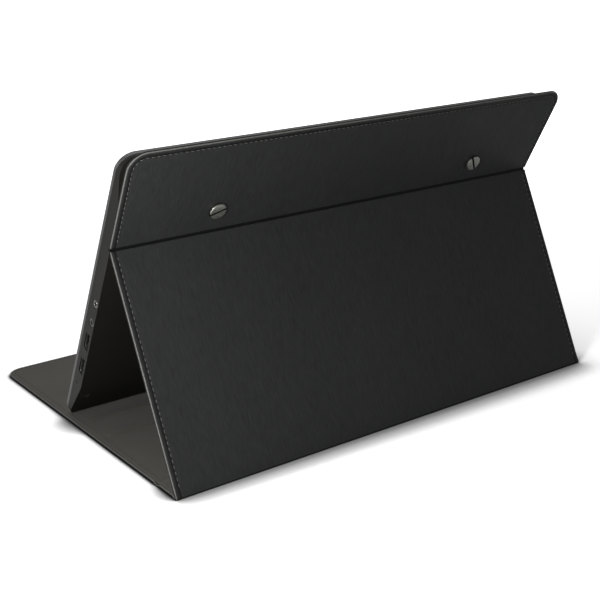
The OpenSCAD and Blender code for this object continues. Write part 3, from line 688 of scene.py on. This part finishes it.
class Strip:
    """A panel, or panels joined by a fold: a line in the side view carried across the width."""

    def __init__(self, points, radii, half_width, free_start=False, free_end=False,
                 step=LONG_STEP, folds=()):
        """Rows follow the bent line, with more of them at free ends and at the folds."""
        self.places, self.ways = bent_line(points, radii, step, cover().curve_steps)
        total = running_length(self.places)[-1]
        extra = [EDGE_MARKS] if free_start else []
        if free_end:
            extra.append(total - EDGE_MARKS)
        for place in folds:
            extra += [place - FOLD_MARKS, place + FOLD_MARKS]
        if extra:
            self.places, self.ways = denser(self.places, self.ways, np.concatenate(extra))
        self.length = running_length(self.places)
        self.total = self.length[-1]
        self.half_width = half_width
        self.free_start = free_start
        self.free_end = free_end
        # Into the material: the left of the way along it
        self.into = np.stack([-self.ways[:, 1], self.ways[:, 0]], axis=1)

    def end_distance(self):
        """Distance of each row from the strip's free ends."""
        far = np.full_like(self.length, 1.0)
        if self.free_start:
            far = np.minimum(far, self.length)
        if self.free_end:
            far = np.minimum(far, self.total - self.length)
        return far

    def across(self, radius):
        """x of every point of the grid, and its distance from the rim.

        Points near a side keep their distance from it, and the rest share what is left."""
        end = self.end_distance()
        row_half = corner_half_width(self.half_width, radius, end)
        marks = across_marks(self.half_width)
        side = self.half_width - np.abs(marks)
        stays = side <= EDGE_MARKS[-1] + 1e-9
        inner = self.half_width - EDGE_MARKS[-1]
        x = np.where(stays[None], row_half[:, None] - side[None],
                     np.abs(marks)[None] / inner * (row_half[:, None] - EDGE_MARKS[-1]))
        x = np.maximum(x, 0) * np.sign(marks)[None]
        distance = edge_distance(x, self.half_width, end[:, None], radius)
        return x, np.maximum(distance, 0)

    def grid(self, x, depth):
        """Points at a depth into the material."""
        y = self.places[:, None, 0] + self.into[:, None, 0] * depth
        z = self.places[:, None, 1] + self.into[:, None, 1] * depth
        return np.stack([x, np.broadcast_to(y, x.shape), np.broadcast_to(z, x.shape)], axis=2)


class TurnedStrip(Strip):
    """A strip whose seen side is the inner one, so that depth runs back to the leather."""

    def __init__(self, *given, **named):
        """A strip with its inward direction turned over."""
        super().__init__(*given, **named)
        self.into = -self.into


def leather_sheet(strip, thickness, radius, folds, creases=()):
    """Outer and inner grids of a stitched leather panel, with masks of scuffed and lit rims and of
    painted shade.

    The rim is a half round. Inside it the leather swells a little, and a channel with a
    bell-shaped section runs under the stitches. At each fold, given as (distance along, bare
    width, thickness there), only the leather goes on. A crease, given as (distance along, half
    width, depth), is a slot pressed in from the outside."""
    rim_radius, board_ramp, least = 1.1 * MM, 2.2 * MM, 0.3 * MM
    channel_depth, channel_width = 0.26 * MM, 0.75 * MM
    x, distance = strip.across(radius)
    inset = cover().stitch_inset
    along = strip.length[:, None]
    full = np.full_like(x, thickness)
    from_ends = np.minimum(along, strip.total - along)
    for place, bare, thin in folds:
        from_fold = np.abs(along - place)
        full = thin + (full - thin) * smooth_step(from_fold, bare, bare + board_ramp)
        from_ends = np.minimum(from_ends, from_fold)
    rim = round_over(distance, rim_radius) * full / 2
    calm = smooth_step(distance, 8 * MM, 30 * MM) * smooth_step(from_ends, 6 * MM, 26 * MM)
    swell = 0.09 * MM * (1 + np.sin(x * 41) * np.sin(along * 33 + 1)) * calm
    outer = rim + channel_depth * bell(distance, inset, channel_width) + swell
    inner = full - rim
    # Lighter band at the rim: partly real scuffing, partly a painted highlight where light catches
    # the rounded edge
    rubbed_and_lit = bell(distance, 0.5 * MM, 0.38 * MM)
    # A dark line at the rim where the two faces meet, and painted shade in the channel beside the
    # stitches
    seam = 1 - smooth_step(distance, 0.04 * MM, 0.25 * MM)
    recess = np.maximum(0.75 * bell(distance, inset - 1.0 * MM, 1.3 * MM), seam)
    # Each crease slot is also painted dark as shade
    for place, width, deep in creases:
        slot = 1 - smooth_step(np.abs(along - place), width, width + 0.5 * MM)
        outer = outer + deep * slot
        recess = np.maximum(recess, slot)
    points, faces = closed_sheet(strip.grid(x, outer),
                                 strip.grid(x, np.maximum(inner, outer + least)))
    masks = {"wear": np.stack([rubbed_and_lit, rubbed_and_lit * 0.8]), "recess": np.stack([recess, seam])}
    return points, faces, masks


def lining_sheet(strip, thickness, radius, bumps=None):
    """Outer and inner grids of a lining: its free rim is rounded off towards the leather.

    A channel with a bell-shaped section runs under the stitches, and bumps gives swellings."""
    rim_radius, channel_depth, channel_width = 0.6 * MM, 0.14 * MM, 0.8 * MM
    x, distance = strip.across(radius)
    inset = cover().stitch_inset - cover().lining_inset
    seen = 0.9 * thickness * round_over(distance, rim_radius)
    seen = seen + channel_depth * bell(distance, inset, channel_width)
    if bumps is not None:
        seen = seen - bumps(strip.length[:, None], distance)
    return closed_sheet(strip.grid(x, seen), strip.grid(x, np.full_like(x, thickness)))


# Stitches


STITCH_RINGS, STITCH_SIDES = 6, 6


def stitch_template():
    """A stitch from -1 to 1: a round thread that dips into the leather at both ends.

    Rings lie along t, with radius r (1 - 0.75 t^4) and height r (0.5 - 1.5 t^2)."""
    t = np.linspace(-1, 1, STITCH_RINGS)[:, None]
    a = np.linspace(0, 2 * math.pi, STITCH_SIDES + 1)[:-1][None]
    radius = 1 - 0.75 * t ** 4
    along = np.broadcast_to(t, (STITCH_RINGS, STITCH_SIDES))
    side = radius * np.cos(a)
    high = radius * np.sin(a) + 0.5 - 1.5 * t ** 2
    return np.stack([along, side, high], axis=2).reshape(-1, 3)


def stitch_faces():
    """Quads round the thread, and a cap at each end."""
    start = np.array([[5, 4, 3, 2], [5, 2, 1, 0]])
    end = np.array([[0, 1, 2, 3], [0, 3, 4, 5]]) + (STITCH_RINGS - 1) * STITCH_SIDES
    return np.concatenate([ring_faces(STITCH_RINGS, STITCH_SIDES), start, end])


def stitches(name, places, ways, outs, body, outward, half_length=1.45 * MM, radius=0.3 * MM):
    """A row of stitches: the template turned to each way and laid on the surface."""
    template = stitch_template() * np.array([half_length, radius, radius])
    sides = np.cross(outs, ways)
    points = (places[:, None] + template[None, :, 0:1] * ways[:, None]
              + template[None, :, 1:2] * sides[:, None] + template[None, :, 2:3] * outs[:, None])
    faces = stitch_faces()
    all_faces = (faces[None] + (np.arange(len(places)) * len(template))[:, None, None])
    return new_piece(name, points.reshape(-1, 3), all_faces.reshape(-1, 4), body, "cover_leather",
                     thread_material(outward), 60)


def u_line(half_width, length, radius, inset, start, pitch):
    """Even places on a line that runs inside a panel's rim: up one side, round both corners and
    down the other. It is drawn in the panel's plane as (x, distance along the panel)."""
    w = half_width - inset
    top = length - inset
    r = max(radius - inset, 0.5 * MM)
    angle = np.linspace(0, math.pi / 2, 12)
    right = np.stack([w - r + r * np.cos(angle), top - r + r * np.sin(angle)], axis=1)
    left = right[::-1] * np.array([-1, 1])
    line = np.concatenate([[[w, start]], right, left, [[-w, start]]])
    return even_points(line, pitch)


def even_points(line, pitch):
    """Places at an even pitch along a line of points, with the way at each.

    The way is the difference of the places 0.2 mm ahead and 0.2 mm behind, made one long."""
    length = running_length(line)
    count = int(length[-1] / pitch)
    where = (np.arange(count) + 0.5) * length[-1] / count
    near = 0.2 * MM
    ways = along_line(where + near, length, line) - along_line(where - near, length, line)
    return along_line(where, length, line), ways / np.linalg.norm(ways, axis=1)[:, None]


def onto_plane(spots, ways, origin, up, depth, outward):
    """Turns places in a panel's plane into places in space.

    origin and up lie in the side view; depth is along the panel's inward direction."""
    into = left_of(up)
    base = origin + into * depth
    out = -into if outward else into
    places = np.stack([spots[:, 0], base[0] + up[0] * spots[:, 1], base[1] + up[1] * spots[:, 1]],
                      axis=1)
    turned = np.stack([ways[:, 0], up[0] * ways[:, 1], up[1] * ways[:, 1]], axis=1)
    outs = np.broadcast_to(np.array([0, out[0], out[1]]), places.shape)
    return places, turned, outs


# The cover


def half_cover():
    """Half the cover's width."""
    return CAD_BOX[1].x


def blend_spine_fold(piece):
    """Bakes the piece's place into its mesh, and leaves its shape as made."""
    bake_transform(piece)


def blend_back_fold(piece):
    """Bakes the piece's place into its mesh, and leaves its shape as made."""
    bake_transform(piece)


def make_cover_leather():
    """Three leathers: the front panel, the spine with the back panel, and the flap."""
    size = cover()
    t = size.edge_thickness
    half = half_cover()

    joint = SPINE_FOLD + FLOOR_WAY * LEATHER_OVERLAP
    fold_at = SPINE_FOLD[0] - FRONT_EDGE[0]
    strip = Strip([FRONT_EDGE, joint], [], half, free_start=True, folds=[fold_at])
    points, faces, masks = leather_sheet(strip, t, size.corner_radius,
                                        [(fold_at, 2.2 * MM, 0.9 * MM)])
    front = new_piece("leather_front", points, faces, None, "cover_leather", masks=masks)
    blend_spine_fold(front)
    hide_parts("front_skin")

    top = CREASE - BACK_UP * CREASE_START
    fold_at = BACK_FOLD[0] - joint[0] - 0.5 * MM
    strip = Strip([joint, BACK_FOLD, top], [0.8 * MM], half, folds=[fold_at])
    points, faces, masks = leather_sheet(strip, t, 0.0, [(fold_at, 3.4 * MM, 0.85 * MM)])
    back = new_piece("leather_back", points, faces, None, "cover_leather", masks=masks)
    blend_back_fold(back)
    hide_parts("back_skin", "spine_skin")

    flap_length = panel_reach("flap_skin")
    flap_end = CREASE + FLAP_UP * flap_length
    strip = Strip([top, CREASE, flap_end], [1.2 * MM], half, free_end=True, folds=[CREASE_START])
    points, faces, masks = leather_sheet(
        strip, t, size.corner_radius, [(CREASE_START, 2.0 * MM, 0.9 * MM)],
        [(CREASE_START, 0.75 * MM, 1.1 * MM)])
    flap = new_piece("leather_flap", points, faces, None, "cover_leather", masks=masks)
    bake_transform(flap)
    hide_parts("flap_skin")


def panel_reach(node):
    """Length of the flap from the crease to its free edge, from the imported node's box."""
    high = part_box(node)[1].z
    return (high - CREASE[1]) / FLAP_UP[1]


def make_cover_lining():
    """Three linings that follow the leathers, with soft bands between the stand's ridges."""
    size = cover()
    inset = size.lining_inset
    half = half_cover() - inset
    inner = size.edge_thickness + LINING_LIFT
    radius = size.corner_radius - inset
    ridge_low, ridge_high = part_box("stop_ridges")

    def bands(along, distance):
        """Soft swellings between the ridges, exp(-u^4), and a dip at the spine fold, exp(-u^2)."""
        y = FRONT_EDGE[0] + inset + along
        pitch = (ridge_high.y - ridge_low.y - 3 * MM) / 2
        middle = ridge_low.y + 1.5 * MM + pitch * np.array([0.62, 1.5])
        spread = np.array([6.0, 11.0]) * MM
        swell = sum(np.exp(-((y - m) / s) ** 4) for m, s in zip(middle, spread))
        dip = bell(y, SPINE_FOLD[0], 2.2 * MM)
        return 0.5 * MM * swell * smooth_step(distance, 7 * MM, 12 * MM) - 0.3 * MM * dip

    start = np.array([FRONT_EDGE[0] + inset, inner])
    joint = np.array([SPINE_FOLD[0] + LINING_OVERLAP, inner])
    strip = TurnedStrip([start, joint], [], half, free_start=True, step=3 * MM,
                        folds=[SPINE_FOLD[0] - start[0]])
    points, faces = lining_sheet(strip, size.lining_thickness, radius, bands)
    front = new_piece("lining_front", points, faces, None, "cover_lining")
    blend_spine_fold(front)
    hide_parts("front_lining")

    # In the back fold the lining lies down on the bare leather, and climbs onto each board
    floor_up = np.array([0.0, 1.0])
    into = left_of(BACK_UP)
    low = 1.2 * MM
    corner = BACK_FOLD + np.array([-low / math.tan(math.acos(float(-BACK_UP[0])) / 2), low])
    far, near = 4.3 * MM, 2.9 * MM
    line = [joint,
            BACK_FOLD - np.array([far, 0]) + floor_up * inner,
            BACK_FOLD - np.array([near, 0]) + floor_up * low,
            corner,
            BACK_FOLD + BACK_UP * near + into * low,
            BACK_FOLD + BACK_UP * far + into * inner,
            CREASE - BACK_UP * LINING_CREASE_GAP + into * inner]
    strip = TurnedStrip(line, np.array([0.8, 0.8, 0.4, 0.8, 0.8]) * MM, half)
    points, faces = lining_sheet(strip, size.lining_thickness, 0.0)
    back = new_piece("lining_back", points, faces, None, "cover_lining")
    blend_back_fold(back)
    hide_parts("spine_lining", "back_lining")

    seat = CREASE + INTO_MONITOR * inner
    line = [seat + FLAP_UP * LINING_CREASE_GAP, seat + FLAP_UP * (panel_reach("flap_skin") - inset)]
    strip = TurnedStrip(line, [], half, free_end=True)
    points, faces = lining_sheet(strip, size.lining_thickness, radius)
    flap = new_piece("lining_flap", points, faces, "monitor", "cover_lining")
    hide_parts("flap_lining")


def make_ridges():
    """The stand's ridges: lining sewn over a cord, as a half-round bar with drawn-in ends.

    Across the bar the height is h sqrt(1 - v^2), and it sinks to nothing over its last 4 mm."""
    low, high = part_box("stop_ridges")
    count, width = 3, 3 * MM
    pitch = (high.y - low.y - width) / (count - 1)
    x = np.concatenate([low.x + np.array([0, 0.3, 1, 2, 3, 4]) * MM,
                        np.linspace(low.x, high.x, 60)[2:-2],
                        high.x - np.array([4, 3, 2, 1, 0.3, 0]) * MM])
    end = np.minimum(x - low.x, high.x - x)
    rise = np.sqrt(np.clip(1 - (1 - np.clip(end / (4 * MM), 0, 1)) ** 2, 0, 1))[:, None]
    v = np.sin(np.linspace(-math.pi / 2, math.pi / 2, 13))[None]
    for k in range(count):
        middle = low.y + width / 2 + k * pitch
        y = middle + v * width / 2 * (0.7 + 0.3 * rise)
        wave = 1 + 0.03 * np.sin(x * 900)[:, None]
        tall = high.z - low.z + 0.08 * MM
        z = low.z - 0.1 * MM + tall * np.sqrt(np.maximum(1 - v ** 2, 0)) * rise * wave
        z = np.minimum(z, high.z)
        top = np.stack([np.broadcast_to(x[:, None], y.shape), y, z], axis=2)
        base = top.copy()
        base[..., 2] = low.z - 0.12 * MM
        points, faces = closed_sheet(top, base)
        ridge = new_piece(f"ridge_{k + 1}", points, faces, "front_panel", "stand_ridge")
        if k == 0:
            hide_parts("stop_ridges")


def make_stitching():
    """Stitches along every sewn edge, on the leather's side and on the lining's side."""
    size = cover()
    half = half_cover()
    inset, pitch = size.stitch_inset, size.stitch_pitch
    deep = size.edge_thickness + LINING_LIFT
    sides = ((0.08 * MM, True), (deep - 0.06 * MM, False))
    start, radius = 5 * MM, size.corner_radius
    flap_line = u_line(half, panel_reach("flap_skin"), radius, inset, start, pitch)
    front_line = u_line(half, SPINE_FOLD[0] - FRONT_EDGE[0], radius, inset, start, pitch)
    back_length = np.linalg.norm(CREASE - BACK_FOLD)

    def straight(low, high):
        """Two rows along the side edges, between two distances up the panel."""
        edge = half - inset
        rows = [even_points(np.array([[s * edge, low], [s * edge, high]]), pitch) for s in (-1, 1)]
        return np.concatenate([r[0] for r in rows]), np.concatenate([r[1] for r in rows])

    for depth, outward in sides:
        word = "outer" if outward else "inner"
        place = onto_plane(*flap_line, CREASE, FLAP_UP, depth, outward)
        stitches(f"stitches_flap_{word}", *place, "monitor", outward)
        rows = straight(7 * MM, back_length - 4 * MM)
        place = onto_plane(*rows, BACK_FOLD, BACK_UP, depth, outward)
        stitches(f"stitches_back_{word}", *place, "back_panel", outward)
        rows = straight(start, BACK_FOLD[0] - SPINE_FOLD[0] - 7 * MM)
        place = onto_plane(*rows, SPINE_FOLD, FLOOR_WAY, depth, outward)
        stitches(f"stitches_spine_{word}", *place, "spine", outward)
        spots, ways = front_line
        flipped = np.array([1.0, -1.0])
        place = onto_plane(spots * flipped, ways * flipped, SPINE_FOLD, FLOOR_WAY, depth, outward)
        stitches(f"stitches_front_{word}", *place, "front_panel", outward)


# The monitor


def slot_floor(points):
    """1 on the floors of the cover screws' slots, which lie one known depth under the heads: where
    shade is painted.
    """
    depth = (points[:, 1:] - CREASE) @ INTO_MONITOR
    return (np.abs(depth - SLOT_FLOOR) < 0.12 * MM).astype(np.float32)


def mouth_depth(points):
    """0 at a video socket's mouth, 1 from 1.6 mm behind it: how much painted shade each point gets.
    """
    return smooth_step(points[:, 0].max() - points[:, 0], 0.2 * MM, 1.6 * MM).astype(np.float32)


def soften(node, name, width, smooth_angle=35, recess=None):
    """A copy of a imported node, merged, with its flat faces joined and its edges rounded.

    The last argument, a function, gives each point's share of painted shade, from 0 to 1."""
    source = frame["nodes"][node]
    mesh = source.data.copy()
    mesh.name = name
    shape = bmesh.new()
    shape.from_mesh(mesh)
    bmesh.ops.remove_doubles(shape, verts=shape.verts, dist=2e-6)
    bmesh.ops.dissolve_limit(shape, angle_limit=math.radians(1.0), verts=shape.verts,
                             edges=shape.edges)
    shape.to_mesh(mesh)
    shape.free()
    if recess:
        points = np.empty(len(mesh.vertices) * 3)
        mesh.vertices.foreach_get("co", points)
        mask = mesh.attributes.new("recess", "FLOAT", "POINT")
        mask.data.foreach_set("value", recess(points.reshape(-1, 3)))
    mesh.materials.clear()
    mesh.materials.append(slot_material(SLOTS[node]))
    mesh.shade_smooth()
    mesh.set_sharp_from_angle(angle=math.radians(smooth_angle))
    piece = put(name, mesh)
    bevel = piece.modifiers.new("edges", "BEVEL")
    bevel.width = width
    bevel.segments = 2
    bevel.limit_method = "ANGLE"
    bevel.angle_limit = math.radians(30)
    bevel.harden_normals = True
    body = next(b for b, nodes in frame["record"]["behaviour"]["bodies"].items() if node in nodes)
    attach(piece, body)
    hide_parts(node)
    return piece


# Nodes whose edges are rounded: the new piece's name, and its share of the usual softening
SOFTENED = {
    "rear_housing": ("housing_shell", 1.0),
    "front_bezel": ("bezel_frame", 1.0),
    "foot_strip": ("foot_rubber_strip", 0.8),
    "cover_screws": ("coin_screws", 0.6),
    "flap_eyelets": ("eyelet_rings", 0.4),
    "upper_video_socket": ("video_shell_upper", 0.2),
    "lower_video_socket": ("video_shell_lower", 0.2),
    "power_socket": ("power_jack", 0.4),
    "headphone_socket": ("headphone_jack", 0.4),
    "power_button": ("power_key", 0.6),
    "plus_button": ("plus_key", 0.6),
    "minus_button": ("minus_key", 0.6),
    "status_lens": ("status_window", 0.4),
}

# How deep each point of a piece lies in painted shade
PAINTED_SHADE_MASKS = {
    "cover_screws": slot_floor,
    "upper_video_socket": mouth_depth,
    "lower_video_socket": mouth_depth,
}


def make_contacts():
    """Spring contacts on both sides of each video socket's tongue, bent round its front edge.

    Each is a flat strip: a box 0.55 mm wide that stands 0.08 mm off the tongue. Its corners lie
    half a width, and half its thickness, each way from a line along the tongue."""
    count, pitch = 7, 1.35 * MM
    width, half_thick = 0.55 * MM, 0.63 * MM
    front, back = 1.42 * MM, 5 * MM
    corner = np.stack(np.meshgrid([0, 1], [-1, 1], [-1, 1], indexing="ij"), axis=3).reshape(-1, 3)
    middle = (np.arange(count) - (count - 1) / 2)[:, None] * pitch
    along = middle + corner[:, 1] * width / 2
    aside = np.broadcast_to(corner[:, 2] * half_thick, along.shape)
    behind = np.broadcast_to(back + (front - back) * corner[:, 0], along.shape)
    faces = BOX_FACES + len(corner) * np.arange(count)[:, None, None]
    for node in ("upper_video_socket", "lower_video_socket"):
        side_view = video_middle(node) + along[..., None] * FLAP_UP + aside[..., None] * INTO_MONITOR
        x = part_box(node)[1].x - behind
        points = np.concatenate([x[..., None], side_view], axis=2).reshape(-1, 3)
        new_piece("contacts_" + node, points, faces.reshape(-1, 4), "monitor", "socket_metal",
                  smooth_angle=20)


def video_middle(node):
    """Middle of a video socket's mouth in the side view, from its mount."""
    return MOUNTS[node.replace("socket", "mouth")][1:]


def make_monitor_shells():
    """Moulded and turned pieces that show, with their edges rounded."""
    for node, (name, share) in SOFTENED.items():
        recess = PAINTED_SHADE_MASKS.get(node)
        soften(node, name, looks().edge_softening * share, recess=recess)


def turned(profile, count, origin, axis, start):
    """A profile of (distance along the axis, radius) turned round the axis, as a closed body.

    Each ring lies at origin + along axis + radius (cos a start + sin a across)."""
    along, radius = profile.T
    a = np.linspace(0, 2 * math.pi, count + 1)[:-1]
    across = np.cross(axis, start)
    round_way = np.cos(a)[:, None] * start + np.sin(a)[:, None] * across
    points = origin + along[:, None, None] * axis + radius[:, None, None] * round_way[None]
    return points.reshape(-1, 3), ring_faces(len(profile), count, closed=True)


def make_mouth_rings():
    """A thin plated ring in the mouth of each round socket, with a half round lip."""
    axis, start = np.eye(3)[0], np.eye(3)[2]
    rise, sunk = 0.16 * MM, 0.2 * MM
    a = np.linspace(0, math.pi, 7)
    for name, radius in (("headphone_mouth", 1.8), ("power_mouth", 2.0)):
        inner, outer = (radius + 0.02) * MM, (radius + 0.55) * MM
        middle = (inner + outer) / 2
        lip = np.stack([rise * np.sin(a), middle - (outer - inner) / 2 * np.cos(a)], axis=1)
        profile = np.concatenate([[[-sunk, inner]], lip, [[-sunk, outer]]])
        points, faces = turned(profile, 36, MOUNTS[name], axis, start)
        new_piece("ring_" + name, points, faces, "monitor", "socket_metal")


def finish_packed_nodes():
    """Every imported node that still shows, or lies inside, gets its slot's material."""
    for node, obj in frame["nodes"].items():
        obj.data.materials.clear()
        obj.data.materials.append(slot_material(SLOTS[node]))


# The studio

CAMERA = {
    "azimuth": 144.80,
    "elevation": 18.02,
    "roll": -1.77,
    "place": (0.50747, 0.73697, 0.35086),
    "lens": 68.50,
}


def make_camera():
    """The photograph's viewpoint: the place, direction, roll and lens were fitted to its corners."""
    a, e, r = (math.radians(CAMERA[k]) for k in ("azimuth", "elevation", "roll"))
    back = Vector((math.sin(a) * math.cos(e), -math.cos(a) * math.cos(e), math.sin(e)))
    right = (-back).cross(Vector((0, 0, 1))).normalized()
    up = right.cross(-back)
    turned_right = right * math.cos(r) + up * math.sin(r)
    turned_up = up * math.cos(r) - right * math.sin(r)
    data = bpy.data.cameras.new("camera")
    data.sensor_width = 36
    data.lens = CAMERA["lens"]
    camera = put("camera", data)
    turn = Matrix((turned_right, turned_up, back)).transposed()
    camera.matrix_world = Matrix.Translation(CAMERA["place"]) @ turn.to_4x4()
    bpy.context.scene.camera = camera


def area_light(name, place, target, size, power):
    """A square area light aimed at a target."""
    data = bpy.data.lights.new(name, "AREA")
    data.energy = power
    data.size = size
    light = put(name, data)
    way = Vector(target) - Vector(place)
    light.matrix_world = Matrix.Translation(place) @ way.to_track_quat("-Z", "Y").to_matrix().to_4x4()


def make_lights():
    """A small key beside the camera, a broad top light and a low side light."""
    power = studio().key_power
    area_light("key", (0.42, 0.36, 0.21), (0.06, 0.08, 0.26), 0.12, power * 0.62)
    area_light("top", (-0.1, -0.4, 1.6), (0, 0, 0), 1.6, power * 2.4)
    area_light("side", (1.1, -0.45, 0.30), (0.1, -0.05, 0.0), 0.7, power * 0.6)


def make_world():
    """A plain grey world that looks white to the camera and in reflections."""
    world = bpy.data.worlds.new("studio_world")
    bpy.context.scene.world = world
    world.use_nodes = True
    tree = world.node_tree
    tree.nodes.clear()
    out = add_node(tree, "ShaderNodeOutputWorld", (600, 0))
    plain = add_node(tree, "ShaderNodeBackground", (0, -100))
    plain.inputs["Color"].default_value = (1, 1, 1, 1)
    plain.inputs["Strength"].default_value = studio().world_level
    white = add_node(tree, "ShaderNodeBackground", (0, 100))
    white.inputs["Color"].default_value = (1, 1, 1, 1)
    rays = add_node(tree, "ShaderNodeLightPath", (-600, 100))
    seen = math_node(tree, "MAXIMUM", rays.outputs["Is Camera Ray"],
                     math_node(tree, "MAXIMUM", rays.outputs["Is Glossy Ray"],
                               rays.outputs["Is Transmission Ray"]))
    mix = add_node(tree, "ShaderNodeMixShader", (300, 0))
    join(tree, seen, mix.inputs[0])
    join(tree, plain.outputs[0], mix.inputs[1])
    join(tree, white.outputs[0], mix.inputs[2])
    join(tree, mix.outputs[0], out.inputs["Surface"])


FLOOR_HALF = 6.0
FLOOR_DROP = 0.2 * MM
FLOOR_WHITE = (0.93, 0.93, 0.93)
# Where the floor's white lift starts to grow, and where it is full
LIFT_START, LIFT_FULL = 0.45, 1.2
# How near a piece darkens the floor, and how strongly
SHADOW_REACH, SHADOW_STRENGTH = 0.03, 6.0


def make_floor():
    """A white floor that keeps a soft shadow: the camera sees its lit colour and a white lift.

    The lift grows with the distance from the middle. Both are times the open share of the sky
    to the power of 6, so that the floor is grey close beside the object."""
    corner = np.array([[-1, -1], [1, -1], [1, 1], [-1, 1]]) * FLOOR_HALF
    points = np.concatenate([corner, np.full((4, 1), -FLOOR_DROP)], axis=1)
    mesh = bpy.data.meshes.new("floor")
    mesh.from_pydata(points.tolist(), [], [[0, 1, 2, 3]])
    floor = put("floor", mesh)
    material = bpy.data.materials.new("floor_white")
    material.use_nodes = True
    tree = material.node_tree
    tree.nodes.clear()
    out = add_node(tree, "ShaderNodeOutputMaterial", (600, 0))
    paint = add_node(tree, "ShaderNodeBsdfDiffuse", (0, 100))
    glow = add_node(tree, "ShaderNodeEmission", (0, -100))
    rays = add_node(tree, "ShaderNodeLightPath", (-600, 0))
    place = add_node(tree, "ShaderNodeTexCoord", (-900, -300))
    reach = add_node(tree, "ShaderNodeVectorMath", (-700, -300), operation="LENGTH")
    join(tree, place.outputs["Object"], reach.inputs[0])
    far = sharpened(tree, reach.outputs["Value"], LIFT_START, LIFT_FULL)
    level = math_node(tree, "ADD", far, studio().floor_lift)
    close = add_node(tree, "ShaderNodeAmbientOcclusion", (-700, -600), samples=16)
    close.inputs["Distance"].default_value = SHADOW_REACH
    free = math_node(tree, "POWER", close.outputs["AO"], SHADOW_STRENGTH)
    level = math_node(tree, "MULTIPLY", level, free)
    join(tree, stretched(tree, free, FLOOR_WHITE), paint.inputs["Color"])
    lift = math_node(tree, "MULTIPLY", rays.outputs["Is Camera Ray"], level)
    join(tree, lift, glow.inputs["Strength"])
    both = add_node(tree, "ShaderNodeAddShader", (300, 0))
    join(tree, paint.outputs[0], both.inputs[0])
    join(tree, glow.outputs[0], both.inputs[1])
    join(tree, both.outputs[0], out.inputs["Surface"])
    mesh.materials.append(material)


# Operators


class COVER_OT_leather(bpy.types.Operator):
    """Make the cover's leathers: front panel, spine with back panel, and flap"""
    bl_idname = "cover.leather"
    bl_label = "Leather"

    def execute(self, context):
        make_cover_leather()
        return {"FINISHED"}


class COVER_OT_lining(bpy.types.Operator):
    """Make the linings and the stand's ridges"""
    bl_idname = "cover.lining"
    bl_label = "Lining"

    def execute(self, context):
        make_cover_lining()
        make_ridges()
        return {"FINISHED"}


class COVER_OT_stitching(bpy.types.Operator):
    """Sew the edges of every panel"""
    bl_idname = "cover.stitching"
    bl_label = "Stitching"

    def execute(self, context):
        make_stitching()
        return {"FINISHED"}


class COVER_OT_monitor(bpy.types.Operator):
    """Round the edges of the housing, bezel, screws, sockets and buttons"""
    bl_idname = "cover.monitor"
    bl_label = "Monitor"

    def execute(self, context):
        finish_packed_nodes()
        make_monitor_shells()
        make_mouth_rings()
        make_contacts()
        return {"FINISHED"}


class COVER_OT_stage(bpy.types.Operator):
    """Set up the floor, the world, the lights and the camera"""
    bl_idname = "cover.stage"
    bl_label = "Stage"

    def execute(self, context):
        bpy.context.scene.view_settings.view_transform = "Standard"
        make_camera()
        make_world()
        make_lights()
        make_floor()
        return {"FINISHED"}


class COVER_PT_tools(bpy.types.Panel):
    """Lists the steps that make the monitor and its cover"""
    bl_idname = "COVER_PT_tools"
    bl_label = "Portable monitor"
    bl_space_type = "VIEW_3D"
    bl_region_type = "UI"
    bl_category = "Monitor"

    def draw(self, context):
        for step in STEPS:
            self.layout.operator("cover." + step)


# The operators in the order in which they run
STEPS = ("stage", "monitor", "leather", "lining", "stitching")
CLASSES = (CoverSizes, MonitorLooks, StudioSetup, COVER_OT_leather, COVER_OT_lining,
           COVER_OT_stitching, COVER_OT_monitor, COVER_OT_stage, COVER_PT_tools)


def register():
    for item in CLASSES:
        bpy.utils.register_class(item)
    bpy.types.Scene.cover_sizes = PointerProperty(type=CoverSizes)
    bpy.types.Scene.monitor_looks = PointerProperty(type=MonitorLooks)
    bpy.types.Scene.studio_setup = PointerProperty(type=StudioSetup)


def unregister():
    del bpy.types.Scene.studio_setup
    del bpy.types.Scene.monitor_looks
    del bpy.types.Scene.cover_sizes
    for item in reversed(CLASSES):
        bpy.utils.unregister_class(item)


def main():
    """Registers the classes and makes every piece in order."""
    register()
    for step in STEPS:
        getattr(bpy.ops.cover, step)()


if __name__ == "__main__":
    main()
